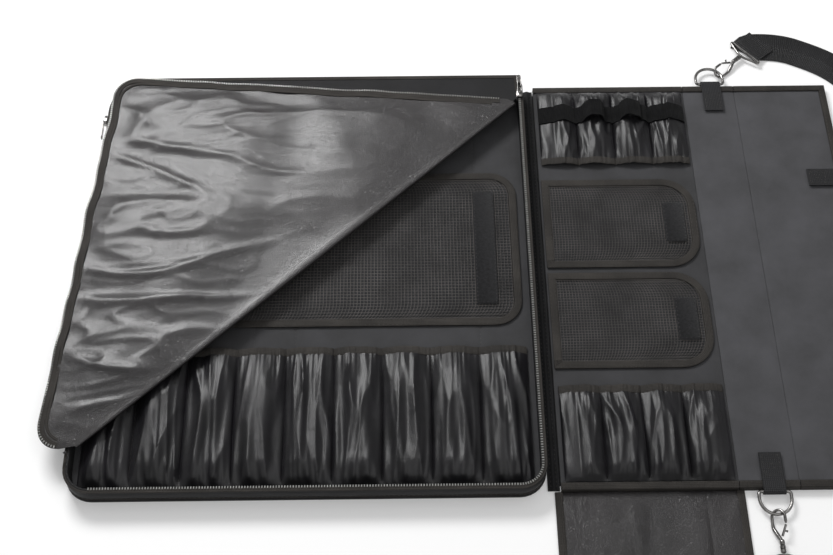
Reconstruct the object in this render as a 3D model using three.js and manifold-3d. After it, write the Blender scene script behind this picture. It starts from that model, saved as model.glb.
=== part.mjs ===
// A board-stiffened, soft-covered chef knife case, lying open and flat.
// Millimetres, +Z up. The origin is the centre of the tray's underside, +X runs from the tray to
// the outer flap, and +Y runs from the front edge to the back edge.
import * as THREE from "three";
import Module from "manifold-3d";
import { mergeVertices } from "three/addons/utils/BufferGeometryUtils.js";

const wasm = await Module();
wasm.setup();

// Sizes of the tray, the zipped compartment on the left.
const TRAY_WIDTH = 450;
const TRAY_DEPTH = 480;
const TRAY_CORNER = 26;
const TRAY_BACK_LEFT_CORNER = 44;
const BOARD_THICKNESS = 5;
const LINING_THICKNESS = 1;
const RIM_HEIGHT = 17;
const RIM_THICKNESS = 3;
const RIM_BULGE = 2;

// Clearances: between pieces that touch, and between boards across a fold.
const SEAM_GAP = 0.3;
const FOLD_GAP = 0.8;

// Sizes of the panels that fold out to the right of the tray.
const HINGE_STRIP_WIDTH = 12;
const PANEL_DEPTH = 468;
const MIDDLE_WIDTH = 166;
const SPINE_WIDTH = 57;
const FLAP_WIDTH = 100;

// Sizes of the woven binding round the panels' edges.
const BINDING_WIDTH = 6;
const BINDING_THICKNESS = 1.2;

// Sizes of the zips.
const ZIP_TAPE_WIDTH = 4;
const ZIP_THICKNESS = 1.5;
const TOOTH_DEPTH = 1.2;
const TOOTH_PITCH = 12;
const SIDE_ZIP_LENGTH = 200;
const SLIDER_LENGTH = 11;
const SLIDER_WIDTH = 7;
const SLIDER_HEIGHT = 3;
const PULL_LENGTH = 24;
const PULL_WIDTH = 5;
const PULL_THICKNESS = 1.4;

// Sizes of the gathered pockets.
const TRAY_POCKET_COUNT = 9;
const TRAY_POCKET_LENGTH = 134;
const TRAY_POCKET_HEIGHT = 11;
const PANEL_POCKET_COUNT = 4;
const PANEL_POCKET_LENGTH = 90;
const PANEL_POCKET_HEIGHT = 10.5;
const POCKET_CLOTH = 1.2;
const POCKET_SIDE_MARGIN = 12;
const POCKET_SEAM_MARGIN = 12;
const PLEAT_DEPTH = 0.9;
const ARCH_STEPS = 10;
const POCKET_BINDING_WIDTH = 8;
const POCKET_BINDING_THICKNESS = 1.8;

// Sizes of the elastic band over the back pockets.
const ELASTIC_WIDTH = 21;
const ELASTIC_THICKNESS = 1.4;
const ELASTIC_LOOP_RISE = 8;
const ELASTIC_FROM_EDGE = 30;

// Sizes of the mesh flaps.
const LARGE_FLAP_WIDTH = 417;
const LARGE_FLAP_DEPTH = 183;
const LARGE_FLAP_CORNER = 28;
const SMALL_FLAP_WIDTH = 160;
const SMALL_FLAP_DEPTH = 108;
const SMALL_FLAP_CORNER = 34;
const SMALL_FLAP_SPACING = 6;
const FLAP_BINDING_WIDTH = 8;
const FLAP_BINDING_THICKNESS = 2.2;
const NET_THICKNESS = 1.2;
const NET_STRAND = 4;
const PATCH_WIDTH = 22;
const PATCH_THICKNESS = 1.2;

// Sizes of the vinyl cover and of the guard flap.
const COVER_THICKNESS = 1.5;
const COVER_INSET = 7;
const COVER_CORNER = 20;
const COVER_CREASE = 2.6;
const FOLD_BACK_POINT = new THREE.Vector2(228, 214);
const FOLD_FRONT_POINT = new THREE.Vector2(-225, -204);
const GUARD_WIDTH = 174;
const GUARD_LENGTH = 105;
const GUARD_THICKNESS = 1.5;

// Sizes of the webbing, rings, hooks and shoulder strap.
const TAB_WIDTH = 21;
const TAB_LENGTH = 38;
const TAB_THICKNESS = 1.4;
const OUTER_TAB_LENGTH = 72;
const OUTER_TAB_OVERHANG = 35;
const OUTER_TAB_OFFSET = 111;
const RING_WIRE = 1.6;
const RING_BOW = 15;
const RING_STRAIGHT = 7;
const RING_BAR_CLEARANCE = 0.4;
const RING_OFFSET = 32;
const RING_TILT = 2;
const HOOK_WIRE = 1.4;
const HOOK_JAW = 4.9;
const HOOK_JAW_CLEARANCE = 0.9;
const HOOK_LENGTH = 34;
const HOOK_ROLL = 38;
const HOOK_COLLAR = 2.6;
const BACK_HOOK_YAW = -50;
const FRONT_HOOK_YAW = 0;
const GATE_WIRE = 1.2;
const STRAP_WIDTH = 38;
const STRAP_THICKNESS = 2.4;
const EYE_LENGTH = 8;
const EYE_GAP = 0.5;

// Heights and places that follow from the sizes.
const LINING_TOP = BOARD_THICKNESS + SEAM_GAP + LINING_THICKNESS;
const ON_LINING = LINING_TOP + SEAM_GAP;
const RIM_TOP = BOARD_THICKNESS + SEAM_GAP + RIM_HEIGHT;
const ZIP_BOTTOM = RIM_TOP + SEAM_GAP;
const COVER_BOTTOM = RIM_TOP + SEAM_GAP;
const COVER_TOP = COVER_BOTTOM + COVER_THICKNESS;
const FOLD_HEIGHT = COVER_TOP + 0.7;
const HALF_W = TRAY_WIDTH / 2;
const HALF_D = TRAY_DEPTH / 2;
const HALF_P = PANEL_DEPTH / 2;
const MIDDLE_X = HALF_W + HINGE_STRIP_WIDTH;
const SPINE_X = MIDDLE_X + MIDDLE_WIDTH;
const FLAP_X = SPINE_X + SPINE_WIDTH;
const BINDING_TOP = ON_LINING + BINDING_THICKNESS;
const RIM_INNER_INSET = RIM_BULGE + 0.5 + RIM_THICKNESS;

const radians = THREE.MathUtils.degToRad;
const root = new THREE.Group();

// Adds one named piece with its own material.
function addPiece(name, geometry, color, roughness, metalness = 0, parent = root) {
  const material = new THREE.MeshStandardMaterial({ color, roughness, metalness });
  const mesh = new THREE.Mesh(geometry, material);
  mesh.name = name;
  parent.add(mesh);
  return mesh;
}

// Turns a closed geometry round if its faces point inwards.
function facingOut(geometry) {
  const p = geometry.attributes.position;
  const index = geometry.index.array;
  const a = new THREE.Vector3();
  const b = new THREE.Vector3();
  const c = new THREE.Vector3();
  let volume = 0;
  for (let i = 0; i < index.length; i += 3) {
    a.fromBufferAttribute(p, index[i]);
    b.fromBufferAttribute(p, index[i + 1]);
    c.fromBufferAttribute(p, index[i + 2]);
    volume += a.dot(b.cross(c));
  }
  if (volume > 0) return geometry;
  const turned = Array.from(index);
  for (let i = 0; i < turned.length; i += 3) {
    const held = turned[i + 1];
    turned[i + 1] = turned[i + 2];
    turned[i + 2] = held;
  }
  geometry.setIndex(turned);
  return geometry;
}

function geometryOf(points, index) {
  const geometry = new THREE.BufferGeometry();
  geometry.setAttribute("position", new THREE.Float32BufferAttribute(points, 3));
  geometry.setIndex(index);
  return facingOut(geometry);
}

// A closed thin solid between an upper and a lower surface, both given on the same grid.
function sheetSolid(across, along, upper, lower) {
  const points = [];
  const index = [];
  const stride = across + 1;
  const layer = stride * (along + 1);
  for (const surface of [upper, lower])
    for (let j = 0; j <= along; j++)
      for (let i = 0; i <= across; i++) points.push(...surface(i / across, j / along));
  const quad = (a, b, c, d) => index.push(a, b, c, a, c, d);
  for (let j = 0; j < along; j++)
    for (let i = 0; i < across; i++) {
      const a = j * stride + i;
      quad(a, a + 1, a + 1 + stride, a + stride);
      quad(layer + a, layer + a + stride, layer + a + 1 + stride, layer + a + 1);
    }
  const wall = (a, b) => quad(layer + a, layer + b, b, a);
  for (let i = 0; i < across; i++) {
    wall(i, i + 1);
    wall(along * stride + i + 1, along * stride + i);
  }
  for (let j = 0; j < along; j++) {
    wall(j * stride + across, (j + 1) * stride + across);
    wall((j + 1) * stride, j * stride);
  }
  return geometryOf(points, index);
}

// A geometry as a solid that can be cut, and a cut solid as a geometry again.
function solidOf(geometry) {
  const bare = geometry.clone();
  bare.deleteAttribute("normal");
  bare.deleteAttribute("uv");
  const merged = mergeVertices(bare, 1e-3);
  const vertProperties = merged.attributes.position.array;
  const triVerts = new Uint32Array(merged.index.array);
  return new wasm.Manifold(new wasm.Mesh({ numProp: 3, vertProperties, triVerts }));
}

function geometryFrom(solid) {
  const mesh = solid.getMesh();
  return geometryOf(Array.from(mesh.vertProperties), Array.from(mesh.triVerts));
}

// A flat plate of a plan outline, between two heights.
function plate(shape, bottom, top, curveSegments = 5) {
  const settings = { depth: top - bottom, bevelEnabled: false, curveSegments };
  return new THREE.ExtrudeGeometry(shape, settings).translate(0, 0, bottom);
}

// Draws a rectangle with rounded corners: front left, front right, back right, back left.
function drawRectangle(path, x0, y0, x1, y1, r) {
  path.moveTo(x0 + r[0], y0);
  path.lineTo(x1 - r[1], y0);
  if (r[1] > 0) path.absarc(x1 - r[1], y0 + r[1], r[1], -Math.PI / 2, 0);
  path.lineTo(x1, y1 - r[2]);
  if (r[2] > 0) path.absarc(x1 - r[2], y1 - r[2], r[2], 0, Math.PI / 2);
  path.lineTo(x0 + r[3], y1);
  if (r[3] > 0) path.absarc(x0 + r[3], y1 - r[3], r[3], Math.PI / 2, Math.PI);
  path.lineTo(x0, y0 + r[0]);
  if (r[0] > 0) path.absarc(x0 + r[0], y0 + r[0], r[0], Math.PI, 1.5 * Math.PI);
  return path;
}

function rectangle(x0, y0, x1, y1, radii = [0, 0, 0, 0]) {
  return drawRectangle(new THREE.Shape(), x0, y0, x1, y1, radii);
}

// The tray's plan outline, drawn in by an inset.
function trayShape(inset) {
  const corners = [TRAY_CORNER, TRAY_CORNER, TRAY_CORNER / 2, TRAY_BACK_LEFT_CORNER];
  const radii = corners.map((r) => Math.max(r - inset, 1));
  return rectangle(-HALF_W + inset, -HALF_D + inset, HALF_W - inset, HALF_D - inset, radii);
}

// A closed wall whose section, a list of insets and heights, follows the tray's outline.
function trayWall(section) {
  const rings = section.map(([inset]) => trayShape(inset).getPoints(6));
  const count = rings[0].length - 1;
  const points = [];
  const index = [];
  section.forEach(([, z], k) => {
    for (let i = 0; i < count; i++) points.push(rings[k][i].x, rings[k][i].y, z);
  });
  const levels = section.length;
  for (let k = 0; k < levels; k++)
    for (let i = 0; i < count; i++) {
      const next = (i + 1) % count;
      const above = ((k + 1) % levels) * count;
      const here = k * count;
      index.push(here + i, here + next, above + next, here + i, above + next, above + i);
    }
  return geometryOf(points, index);
}

// A flat ribbon along a plan path. The side functions give its two edges at each station.
function ribbon(path, stations, rightSide, leftSide, bottom, top) {
  const centre = path.getSpacedPoints(stations);
  const normals = centre.map((p, i) => {
    const before = centre[Math.max(i - 1, 0)];
    const after = centre[Math.min(i + 1, stations)];
    const along = after.clone().sub(before).normalize();
    return new THREE.Vector2(-along.y, along.x);
  });
  const edge = (u, v) => {
    const i = Math.round(u * stations);
    const offset = v < 0.5 ? -rightSide(i) : leftSide(i);
    return centre[i].clone().addScaledVector(normals[i], offset);
  };
  const at = (z) => (u, v) => [edge(u, v).x, edge(u, v).y, z];
  return sheetSolid(stations, 1, at(top), at(bottom));
}

// One side of a zip: its tape with the teeth along one edge.
function zipChain(path, bottom, teethLeft) {
  const stations = 2 * Math.round(path.getLength() / TOOTH_PITCH);
  const tooth = (i) => ZIP_TAPE_WIDTH / 2 + (i % 2 ? TOOTH_DEPTH : 0);
  const plain = () => ZIP_TAPE_WIDTH / 2;
  const top = bottom + ZIP_THICKNESS;
  if (teethLeft) return ribbon(path, stations, plain, tooth, bottom, top);
  return ribbon(path, stations, tooth, plain, bottom, top);
}

// A round wire along points, with flat ends, or closed on itself.
function wire(points, radius, closed, sides = 8) {
  const count = points.length;
  const radiusAt = typeof radius === "function" ? radius : () => radius;
  const positions = [];
  const index = [];
  const spun = new THREE.Vector3();
  const plane = new THREE.Vector3();
  points.forEach((p, i) => {
    const next = points[(i + 1) % count];
    plane.add(spun.copy(p).cross(next));
  });
  if (plane.length() < 1e-6) plane.set(0, 0, 1);
  plane.normalize();
  points.forEach((p, i) => {
    const before = closed ? points[(i + count - 1) % count] : points[Math.max(i - 1, 0)];
    const after = closed ? points[(i + 1) % count] : points[Math.min(i + 1, count - 1)];
    const along = after.clone().sub(before).normalize();
    const side = along.clone().cross(plane).normalize();
    for (let k = 0; k < sides; k++) {
      const turn = (2 * Math.PI * k) / sides;
      const r = radiusAt(i);
      const q = p.clone().addScaledVector(side, r * Math.cos(turn));
      q.addScaledVector(plane, r * Math.sin(turn));
      positions.push(q.x, q.y, q.z);
    }
  });
  for (let i = 0; i < (closed ? count : count - 1); i++)
    for (let k = 0; k < sides; k++) {
      const a = i * sides + k;
      const b = i * sides + ((k + 1) % sides);
      const c = ((i + 1) % count) * sides + ((k + 1) % sides);
      const d = ((i + 1) % count) * sides + k;
      index.push(a, b, c, a, c, d);
    }
  if (!closed)
    for (let k = 1; k < sides - 1; k++) {
      const last = (count - 1) * sides;
      index.push(0, k + 1, k, last, last + k, last + k + 1);
    }
  return geometryOf(positions, index);
}

// Colours by eye from the photograph.
const LINING = 0x3e3e40;
const BINDING = 0x37342f;
const NYLON = 0x34343a;
const VINYL = 0x58524f;
const ELASTIC = 0x141414;
const NET = 0x2a2a2b;
const TEETH = 0x9a9a98;
const NICKEL = 0xb8b8b8;
const WEBBING = 0x1b1b1c;

// The tray: board, lining, bulging gusset rim, and the zip along its front and right edges.
function addTray() {
  addPiece("tray_board", plate(trayShape(0), 0, BOARD_THICKNESS), 0x242425, 0.9);
  const liningShape = trayShape(RIM_INNER_INSET + SEAM_GAP);
  const liningBottom = BOARD_THICKNESS + SEAM_GAP;
  addPiece("tray_lining", plate(liningShape, liningBottom, LINING_TOP), LINING, 0.95);
  const foot = BOARD_THICKNESS + SEAM_GAP;
  const outer = RIM_BULGE + 0.5;
  const middle = foot + RIM_HEIGHT / 2;
  const section = [
    [outer, foot],
    [0.5, middle],
    [outer, RIM_TOP],
    [RIM_INNER_INSET, RIM_TOP],
    [RIM_INNER_INSET - RIM_BULGE, middle],
    [RIM_INNER_INSET, foot],
  ];
  addPiece("tray_rim", trayWall(section), 0x2c2c2e, 0.9);
  const inset = 0.8 + ZIP_TAPE_WIDTH / 2;
  const r = TRAY_CORNER - inset;
  const path = new THREE.Path();
  path.moveTo(-HALF_W + TRAY_CORNER, -HALF_D + inset);
  path.lineTo(HALF_W - TRAY_CORNER, -HALF_D + inset);
  path.absarc(HALF_W - TRAY_CORNER, -HALF_D + TRAY_CORNER, r, -Math.PI / 2, 0);
  path.lineTo(HALF_W - inset, HALF_D - TRAY_CORNER / 2);
  addPiece("rim_zip", zipChain(path, ZIP_BOTTOM, true), TEETH, 0.5);
  const strip = rectangle(HALF_W + SEAM_GAP, -HALF_P, MIDDLE_X - FOLD_GAP / 2, HALF_P);
  addPiece("hinge_strip", plate(strip, 0, BOARD_THICKNESS / 2), 0x232324, 0.9);
}

// The gathered pockets are one strip of cloth, sewn down between them. This gives the height of
// its upper face: u runs across the row, v from the sewn end to the mouth.
function pocketRise(u, v, count, height) {
  const across = (u * count) % 1;
  const arch = Math.pow(Math.max(Math.sin(Math.PI * across), 0), 0.6);
  const swell = Math.min(1, v / 0.18) * (1 - 0.12 * v);
  const pleat = Math.cos(6 * Math.PI * across) * Math.sin(Math.PI * Math.min(1, v * 1.2));
  const rise = (height - POCKET_CLOTH) * arch * Math.sin((Math.PI / 2) * swell);
  return POCKET_CLOTH + Math.max(rise + PLEAT_DEPTH * pleat * arch, 0);
}

// A pocket row between two sides. The sewn end and the mouth may lie either way along Y.
function pocketRow(x0, x1, ySewn, yMouth, count, height) {
  const place = (u) => x0 + (x1 - x0) * u;
  const at = (drop) => (u, v) => [
    place(u),
    ySewn + (yMouth - ySewn) * v,
    ON_LINING + pocketRise(u, v, count, height) - drop,
  ];
  return sheetSolid(count * ARCH_STEPS, 4, at(0), at(POCKET_CLOTH));
}

// The woven binding along the mouths of a pocket row, lying on the same arches.
function pocketBinding(x0, x1, yMouth, outward, count, height) {
  const near = yMouth + SEAM_GAP * outward;
  const at = (drop) => (u, v) => [
    x0 + (x1 - x0) * u,
    near + POCKET_BINDING_WIDTH * outward * v,
    ON_LINING + pocketRise(u, 1, count, height) + POCKET_BINDING_THICKNESS - POCKET_CLOTH - drop,
  ];
  return sheetSolid(count * ARCH_STEPS, 1, at(0), at(POCKET_BINDING_THICKNESS));
}

function addTrayPockets() {
  const x0 = -HALF_W + POCKET_SIDE_MARGIN;
  const x1 = HALF_W - POCKET_SIDE_MARGIN;
  const sewn = -HALF_D + POCKET_SEAM_MARGIN;
  const mouth = sewn + TRAY_POCKET_LENGTH;
  const row = pocketRow(x0, x1, sewn, mouth, TRAY_POCKET_COUNT, TRAY_POCKET_HEIGHT);
  addPiece("knife_pocket_row", row, NYLON, 0.5);
  const edge = pocketBinding(x0, x1, mouth, 1, TRAY_POCKET_COUNT, TRAY_POCKET_HEIGHT);
  addPiece("knife_pocket_binding", edge, BINDING, 0.9);
}

// A mesh flap: a bound edge, the net inside it, and a hook-and-loop patch at its free end.
function addMeshFlap(name, x0, y0, width, depth, corner, columns, rows, patchFromEnd) {
  const x1 = x0 + width;
  const y1 = y0 + depth;
  const radii = [0, corner, corner, 0];
  const frame = rectangle(x0, y0, x1, y1, radii);
  const b = FLAP_BINDING_WIDTH;
  const inner = [0, corner - b, corner - b, 0];
  frame.holes.push(
    drawRectangle(new THREE.Path(), x0 + b, y0 + b, x1 - b, y1 - b, inner),
  );
  const bindingTop = ON_LINING + FLAP_BINDING_THICKNESS;
  addPiece(name + "_binding", plate(frame, ON_LINING, bindingTop), BINDING, 0.9);
  const c = b + SEAM_GAP;
  const within = [0, corner - c, corner - c, 0];
  const net = rectangle(x0 + c, y0 + c, x1 - c, y1 - c, within);
  const netEnd = x1 - Math.max(corner, c + NET_STRAND);
  const gapX = (netEnd - x0 - c) / columns;
  const gapY = (depth - 2 * c) / rows;
  const netTop = ON_LINING + NET_THICKNESS;
  let solid = solidOf(plate(net, ON_LINING, netTop));
  for (let i = 0; i < columns; i++)
    for (let j = 0; j < rows; j++) {
      const gap = new THREE.BoxGeometry(gapX - NET_STRAND, gapY - NET_STRAND, 4 * NET_THICKNESS);
      gap.translate(x0 + c + (i + 0.5) * gapX, y0 + c + (j + 0.5) * gapY, ON_LINING);
      solid = solid.subtract(solidOf(gap));
    }
  addPiece(name + "_net", geometryFrom(solid), NET, 0.8);
  const patchRight = x1 - patchFromEnd;
  const patchMargin = corner - b + 4;
  const patch = rectangle(patchRight - PATCH_WIDTH, y0 + patchMargin, patchRight, y1 - patchMargin);
  const patchBottom = netTop + SEAM_GAP;
  addPiece(name + "_patch", plate(patch, patchBottom, patchBottom + PATCH_THICKNESS), WEBBING, 1);
}

function addLargeFlap() {
  const x0 = -LARGE_FLAP_WIDTH / 2 + 3;
  const y0 = -HALF_D + POCKET_SEAM_MARGIN + TRAY_POCKET_LENGTH + POCKET_BINDING_WIDTH + 24;
  const from = FLAP_BINDING_WIDTH + 16;
  addMeshFlap(
    "large_flap", x0, y0, LARGE_FLAP_WIDTH, LARGE_FLAP_DEPTH, LARGE_FLAP_CORNER, 8, 4, from,
  );
}

// The vinyl cover is sewn to the rim at the back and left. Its unzipped corner is folded over
// the line between the two fold points and lies on the part that stays sewn.
const foldDirection = FOLD_BACK_POINT.clone().sub(FOLD_FRONT_POINT).normalize();
const foldAngle = foldDirection.angle();
const foldSlope = foldDirection.y / foldDirection.x;
const foldYAt = (x) => FOLD_FRONT_POINT.y + (x - FOLD_FRONT_POINT.x) * foldSlope;

function addSewnCover() {
  const left = -HALF_W + 2;
  const right = HALF_W - COVER_INSET;
  const back = HALF_D - 2;
  const r = TRAY_BACK_LEFT_CORNER - 2;
  const away = 1;
  const shape = new THREE.Shape();
  shape.moveTo(left, foldYAt(left) + away / Math.cos(foldAngle));
  shape.lineTo(right, foldYAt(right) + away / Math.cos(foldAngle));
  shape.lineTo(right, back);
  shape.lineTo(left + r, back);
  shape.absarc(left + r, back - r, r, Math.PI / 2, Math.PI);
  shape.closePath();
  addPiece("cover_sewn", plate(shape, COVER_BOTTOM, COVER_TOP, 8), VINYL, 0.35);
}

// The free edge of the cover's corner where it lies when it is zipped shut, left to right.
function closedCoverEdge(inset) {
  const left = -HALF_W + inset;
  const right = HALF_W - inset;
  const front = -HALF_D + inset;
  const r = COVER_CORNER;
  const path = new THREE.Path();
  path.moveTo(left, foldYAt(left) - 8);
  path.lineTo(left, front + r);
  path.absarc(left + r, front + r, r, Math.PI, 1.5 * Math.PI);
  path.lineTo(right - r, front);
  path.absarc(right - r, front + r, r, -Math.PI / 2, 0);
  path.lineTo(right, foldYAt(right) - 8);
  return path;
}

// Turns a point of the closed corner over the fold line to where it lies folded back.
function foldedOver(point) {
  const from = point.clone().sub(FOLD_FRONT_POINT);
  const along = from.dot(foldDirection);
  const mirrored = foldDirection.clone().multiplyScalar(2 * along).sub(from);
  return mirrored.add(FOLD_FRONT_POINT);
}

function addCoverCorner() {
  const edge = closedCoverEdge(COVER_INSET);
  const across = 30;
  const margin = COVER_INSET + ZIP_TAPE_WIDTH;
  const foldStart = new THREE.Vector2(-HALF_W + margin, foldYAt(-HALF_W + margin));
  const foldEnd = new THREE.Vector2(HALF_W - margin, foldYAt(HALF_W - margin));
  const hem = 0.985;
  const lift = (u, v) => {
    const crease = Math.sin(9 * u + 5 * v) * Math.sin(4 * u - 7 * v);
    const inside = Math.sin(Math.PI * Math.min(v * 1.1, 1)) * Math.sin(Math.PI * u);
    return 0.1 + inside * (1.6 + COVER_CREASE * (0.5 + 0.5 * crease));
  };
  const place = (u, v) => {
    const far = foldedOver(edge.getPointAt(0.004 + 0.992 * u));
    const near = foldStart.clone().lerp(foldEnd, u);
    return near.lerp(far, v * hem);
  };
  const at = (height) => (u, v) => [
    place(u, v).x,
    place(u, v).y,
    FOLD_HEIGHT + lift(u, v) + height,
  ];
  const sheet = sheetSolid(across, 7, at(COVER_THICKNESS), at(0));
  addPiece("cover_corner", sheet, VINYL, 0.35);
  const zipEdge = closedCoverEdge(COVER_INSET + ZIP_TAPE_WIDTH / 2 + TOOTH_DEPTH);
  const zipPath = new THREE.Path();
  const count = 60;
  for (let i = 0; i <= count; i++) {
    const p = foldedOver(zipEdge.getPointAt(0.01 + (0.98 * i) / count));
    if (i === 0) zipPath.moveTo(p.x, p.y);
    else zipPath.lineTo(p.x, p.y);
  }
  const zipBottom = FOLD_HEIGHT + 0.1 + COVER_THICKNESS + SEAM_GAP;
  addPiece("cover_corner_zip", zipChain(zipPath, zipBottom, true), TEETH, 0.5);
}

// A zip slider: a tapered body on the chain, and a pull tab hinged at its end.
function sliderGeometry(x, y, bottom) {
  const l = SLIDER_LENGTH / 2;
  const w = SLIDER_WIDTH / 2;
  const shape = new THREE.Shape();
  shape.moveTo(x - 0.6 * w, y - l);
  shape.lineTo(x + 0.6 * w, y - l);
  shape.quadraticCurveTo(x + w, y - l / 2, x + w, y + l / 3);
  shape.lineTo(x + 0.7 * w, y + l);
  shape.lineTo(x - 0.7 * w, y + l);
  shape.lineTo(x - w, y + l / 3);
  shape.quadraticCurveTo(x - w, y - l / 2, x - 0.6 * w, y - l);
  return plate(shape, bottom, bottom + SLIDER_HEIGHT, 4);
}

function pullGeometry(x, y, bottom, away) {
  const w = PULL_WIDTH / 2;
  const y0 = Math.min(y, y + away * PULL_LENGTH);
  const y1 = Math.max(y, y + away * PULL_LENGTH);
  const shape = rectangle(x - w, y0, x + w, y1, [1, 1, 1, 1]);
  const wall = 1.1;
  const slot = [0.5, 0.5, 0.5, 0.5];
  shape.holes.push(
    drawRectangle(new THREE.Path(), x - w + wall, y0 + 2 * wall, x + w - wall, y1 - 2 * wall, slot),
  );
  return plate(shape, bottom, bottom + PULL_THICKNESS, 2);
}

function addZipSliders() {
  const x = HALF_W - 4.6;
  const y = HALF_D - TRAY_CORNER;
  const bottom = ZIP_BOTTOM + ZIP_THICKNESS + SEAM_GAP;
  addPiece("zip_slider", sliderGeometry(x, y, bottom), NICKEL, 0.3, 1);
  const pullBottom = bottom + SLIDER_HEIGHT + SEAM_GAP;
  addPiece("zip_pull", pullGeometry(x, y - 1, pullBottom, 1), NICKEL, 0.3, 1);
}

// The zip of the compartment behind the tray runs on the outside of the left wall.
function addSideZip() {
  const x = -HALF_W - 0.8;
  const start = HALF_D - TRAY_BACK_LEFT_CORNER;
  const middle = BOARD_THICKNESS + SEAM_GAP + RIM_HEIGHT / 2;
  const half = 2.5;
  const path = new THREE.LineCurve(
    new THREE.Vector2(x, start),
    new THREE.Vector2(x, start - SIDE_ZIP_LENGTH),
  );
  const stations = 2 * Math.round(SIDE_ZIP_LENGTH / TOOTH_PITCH);
  const outer = (i) => 0.6 + (i % 2 ? TOOTH_DEPTH : 0);
  const inner = () => 0.6;
  const chain = ribbon(path, stations, outer, inner, middle - half, middle + half);
  addPiece("side_zip", chain, TEETH, 0.5);
  const near = x - 0.6 - TOOTH_DEPTH - SEAM_GAP;
  const far = near - SLIDER_HEIGHT;
  const r = 0.8;
  const body = rectangle(far, start - SLIDER_LENGTH, near, start, [r, r, r, r]);
  const top = middle + SLIDER_WIDTH / 2;
  addPiece("side_slider", plate(body, middle - SLIDER_WIDTH / 2, top), NICKEL, 0.3, 1);
  const pullNear = far - SEAM_GAP;
  const end = start - SLIDER_LENGTH / 2;
  const pull = rectangle(pullNear - PULL_THICKNESS, end - PULL_LENGTH, pullNear, end);
  addPiece("side_pull", plate(pull, middle - half, middle + half), NICKEL, 0.3, 1);
}

// A woven binding folded over an edge. The plan function gives the edge's corners at an inset.
function boundEdge(plan, sheetTop) {
  const t = BINDING_THICKNESS;
  const outside = -SEAM_GAP - t;
  const flange = sheetTop + SEAM_GAP;
  const section = [
    [outside, 0],
    [outside, flange + t],
    [BINDING_WIDTH, flange + t],
    [BINDING_WIDTH, flange],
    [-SEAM_GAP, flange],
    [-SEAM_GAP, 0],
  ];
  const levels = section.length;
  const points = [];
  const index = [];
  const corners = plan(0).length;
  for (let i = 0; i < corners; i++)
    for (const [inset, z] of section) points.push(...plan(inset)[i], z);
  for (let i = 0; i < corners - 1; i++)
    for (let k = 0; k < levels; k++) {
      const a = i * levels + k;
      const b = i * levels + ((k + 1) % levels);
      index.push(a, b, b + levels, a, b + levels, a + levels);
    }
  const outline = section.map(([inset, z]) => new THREE.Vector2(inset, z));
  const last = (corners - 1) * levels;
  for (const [a, b, c] of THREE.ShapeUtils.triangulateShape(outline, []))
    index.push(a, c, b, last + a, last + b, last + c);
  return orientedCaps(points, index);
}

// A swept section's caps must turn the same way as its walls: this tries both ways round.
function orientedCaps(points, index) {
  const edges = new Set();
  const clashes = (list) => {
    edges.clear();
    for (let i = 0; i < list.length; i += 3)
      for (let k = 0; k < 3; k++) {
        const key = list[i + k] + ">" + list[i + ((k + 1) % 3)];
        if (edges.has(key)) return true;
        edges.add(key);
      }
    return false;
  };
  if (!clashes(index)) return geometryOf(points, index);
  const capCount = 2 * 4;
  const walls = index.slice(0, index.length - 3 * capCount);
  const caps = index.slice(index.length - 3 * capCount);
  for (let i = 0; i < caps.length; i += 3) {
    const held = caps[i + 1];
    caps[i + 1] = caps[i + 2];
    caps[i + 2] = held;
  }
  return geometryOf(points, walls.concat(caps));
}

// A folding panel: its stiff board and its lining, with bindings along back and front.
function addPanel(name, x0, x1, bound) {
  const left = x0 + FOLD_GAP / 2;
  const right = x1 - (bound ? 0 : FOLD_GAP / 2);
  const board = rectangle(left, -HALF_P, right, HALF_P);
  addPiece(name + "_board", plate(board, 0, BOARD_THICKNESS), 0x242425, 0.9);
  const lining = rectangle(left, -HALF_P + 0.6, right, HALF_P - 0.6);
  const liningBottom = BOARD_THICKNESS + SEAM_GAP;
  addPiece(name + "_lining", plate(lining, liningBottom, LINING_TOP), LINING, 0.95);
  if (bound) {
    const plan = (d) => [
      [left, -HALF_P + d],
      [right - d, -HALF_P + d],
      [right - d, HALF_P - d],
      [left, HALF_P - d],
    ];
    addPiece(name + "_binding", boundEdge(plan, LINING_TOP), BINDING, 0.9);
    return;
  }
  const back = (d) => [
    [left, HALF_P - d],
    [right, HALF_P - d],
  ];
  const front = (d) => [
    [left, -HALF_P + d],
    [right, -HALF_P + d],
  ];
  addPiece(name + "_binding_back", boundEdge(back, LINING_TOP), BINDING, 0.9);
  addPiece(name + "_binding_front", boundEdge(front, LINING_TOP), BINDING, 0.9);
}

// The elastic band lies over the back pockets and rises in a tool loop over each middle one.
function elasticBand(x0, x1, ySewn) {
  const count = PANEL_POCKET_COUNT;
  const height = PANEL_POCKET_HEIGHT;
  const y1 = HALF_P - ELASTIC_FROM_EDGE;
  const y0 = y1 - ELASTIC_WIDTH;
  const loopRise = (u) => {
    const pocket = Math.floor(u * count);
    const across = (u * count) % 1;
    const t = (across - 0.2) / 0.6;
    if (pocket < 1 || pocket > 2 || t <= 0 || t >= 1) return 0;
    return ELASTIC_LOOP_RISE * Math.pow(Math.sin(Math.PI * t), 0.5);
  };
  const steps = [0.25, 0.5];
  const cloth = (u) => Math.max(...steps.map((v) => pocketRise(u, v, count, height)));
  const at = (lift) => (u, v) => [
    x0 + (x1 - x0) * u,
    y0 + (y1 - y0) * v,
    ON_LINING + cloth(u) + SEAM_GAP + loopRise(u) + lift,
  ];
  return sheetSolid(count * ARCH_STEPS, 1, at(ELASTIC_THICKNESS), at(0));
}

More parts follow.
